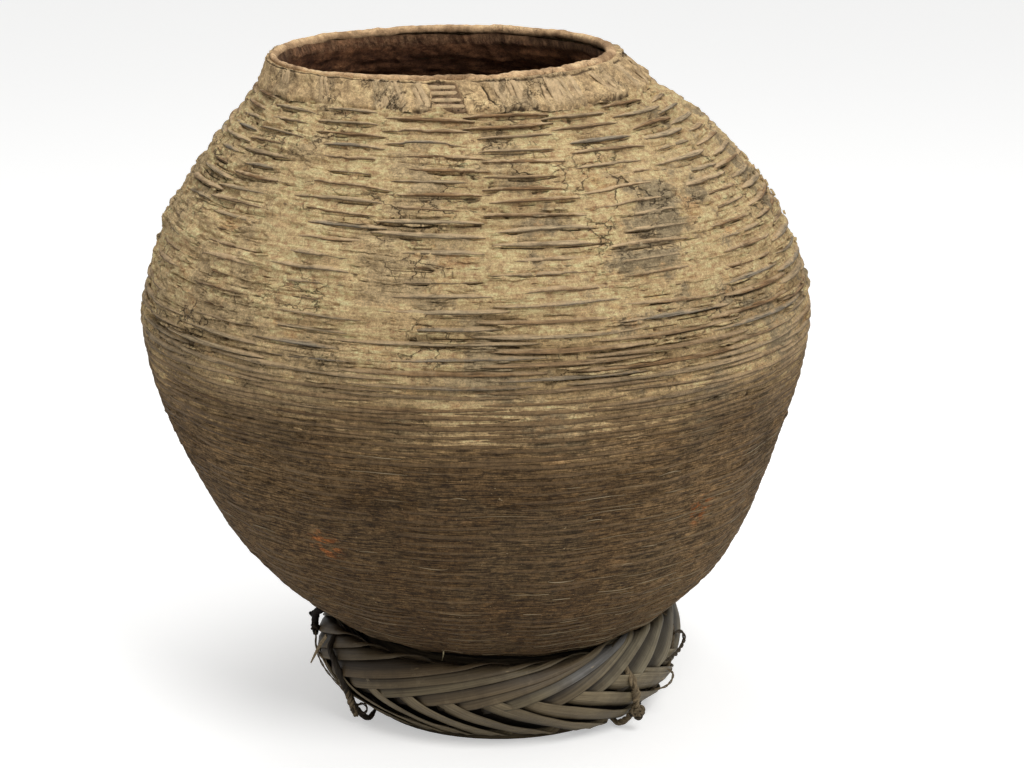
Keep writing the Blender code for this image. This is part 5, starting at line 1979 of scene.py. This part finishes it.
# %% [markdown]
# One more thing belongs to the foot: a single pale straw caught in the gap under the basket, left
# of the middle. A detail this small does a lot, because it tells the eye how large the rest is.

# %% Leave a straw in the gap
STRAW = ((-20, 0.1165, 0.0775), (-19.6, 0.1170, 0.0715), (-20.2, 0.1168, 0.0655))
STRAW_WIDTH = 0.0011


def straw_finish():
    material = start_finish("pale_straw", 0.5)
    shade = blend(spots(in_space(), 900.0), colour(176, 160, 118), colour(220, 208, 168))
    return end_finish(material, shade)


straw = make_tie("loose_straw", [(flat_strip(STRAW, STRAW_WIDTH, 20), 1)], straw_finish())
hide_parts("foot_filler_hoop_2")

# %% [markdown]
# What stays in view of the plain solids gets a finish too: the staves, hoops and base mat deep in
# the wall, the hoop that the basket stands on, and the hoops packed inside the plaited band. They
# are bamboo, with darker colours where they sit in shade: that darkness is painted shade.

# %% Finish what shows of the plain solids
STREAK_SCALE = (30.0, 30.0, 500.0)


def plain_bamboo(name, dark, light):
    material = start_finish(name, 0.65)
    places = in_space()
    streaks = spots(stretched(places, STREAK_SCALE), 1.0, 5.0, 0.6)
    shade = blend(reach(streaks, 0.3, 0.7), dark, light)
    return end_finish(material, shade, streaks, 0.0004)


stave_bamboo = plain_bamboo("stave_bamboo", BAMBOO_DARK, BAMBOO_BROWN)
# Darker than the staves' bamboo: painted shade for the hoops of the foot.
foot_bamboo = plain_bamboo("foot_bamboo", colour(40, 32, 22), colour(92, 80, 60))
cord_fibre = plain_bamboo("cord_fibre", colour(24, 20, 15), colour(70, 60, 46))
SOLID_FINISHES = (("rib_", stave_bamboo), ("base_mat", stave_bamboo), ("rim_inner_hoop", stave_bamboo),
                  ("foot_inner_hoop", foot_bamboo), ("foot_filler", foot_bamboo), ("foot_tie", cord_fibre))
for name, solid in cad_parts.items():
    for start, finish in SOLID_FINISHES:
        if name.startswith(start):
            solid.data.materials.clear()
            solid.data.materials.append(finish)
print("the plain solids have", len({finish.name for _, finish in SOLID_FINISHES}), "finishes")

# %% [markdown]
# The set is a pale floor under soft studio light. A wide lamp high in front and to the right is
# the key, as the basket's right shoulder is the brighter one, and an even world light fills the
# shadows. The floor turns white to the camera alone, so it throws no extra light on the basket
# and still keeps the soft shadow under the foot.

# %% Build the set and the lights
WHITE = (1, 1, 1, 1)
FLOOR_PALE = (0.80, 0.80, 0.79, 1)
FLOOR_GLOW = 0.42
SKY_LIGHT = 0.55
FLOOR_SIZE = 12.0
floor_mesh = bpy.data.meshes.new("floor")
half_floor = FLOOR_SIZE / 2
floor_mesh.from_pydata([(-half_floor, -half_floor, 0), (half_floor, -half_floor, 0),
                        (half_floor, half_floor, 0), (-half_floor, half_floor, 0)], [], [(0, 1, 2, 3)])
floor = bpy.data.objects.new("floor", floor_mesh)
bpy.context.collection.objects.link(floor)


def floor_finish():
    material = start_finish("pale_floor", 0.9)
    surface = tree.nodes["Principled BSDF"].outputs[0]
    glow = node("Emission", {"Color": WHITE, "Strength": FLOOR_GLOW})
    lit = node("AddShader", {0: surface, 1: glow.outputs[0]})
    seen = node("LightPath").outputs["Is Camera Ray"]
    mixed = node("MixShader", {0: seen, 1: surface, 2: lit.outputs[0]})
    plug(tree.nodes["Material Output"].inputs["Surface"], mixed.outputs[0])
    return end_finish(material, FLOOR_PALE, spots(in_space(), 60.0), 0.0002)


floor_mesh.materials.append(floor_finish())

world = bpy.data.worlds.new("studio")
bpy.context.scene.world = world
world.use_nodes = True
tree = world.node_tree
background = tree.nodes["Background"]
plug(background.inputs["Color"], WHITE)
plug(background.inputs["Strength"], SKY_LIGHT)
backdrop = node("Background", {"Color": WHITE, "Strength": 1.0})
seen = node("LightPath").outputs["Is Camera Ray"]
chosen = node("MixShader", {0: seen, 1: background.outputs[0], 2: backdrop.outputs[0]})
plug(tree.nodes["World Output"].inputs["Surface"], chosen.outputs[0])


def make_lamp(name, place, target, size, energy):
    data = bpy.data.lights.new(name, "AREA")
    data.shape = "DISK"
    data.size = size
    data.energy = energy
    lamp = bpy.data.objects.new(name, data)
    lamp.location = place
    lamp.rotation_euler = (Vector(target) - Vector(place)).to_track_quat("-Z", "Y").to_euler()
    bpy.context.collection.objects.link(lamp)
    return lamp


BASKET_MIDDLE = (0, 0, 0.28)
make_lamp("key", (0.9, -1.7, 2.0), BASKET_MIDDLE, 1.2, 38)
make_lamp("top", (-0.2, 0.3, 2.4), BASKET_MIDDLE, 1.5, 18)
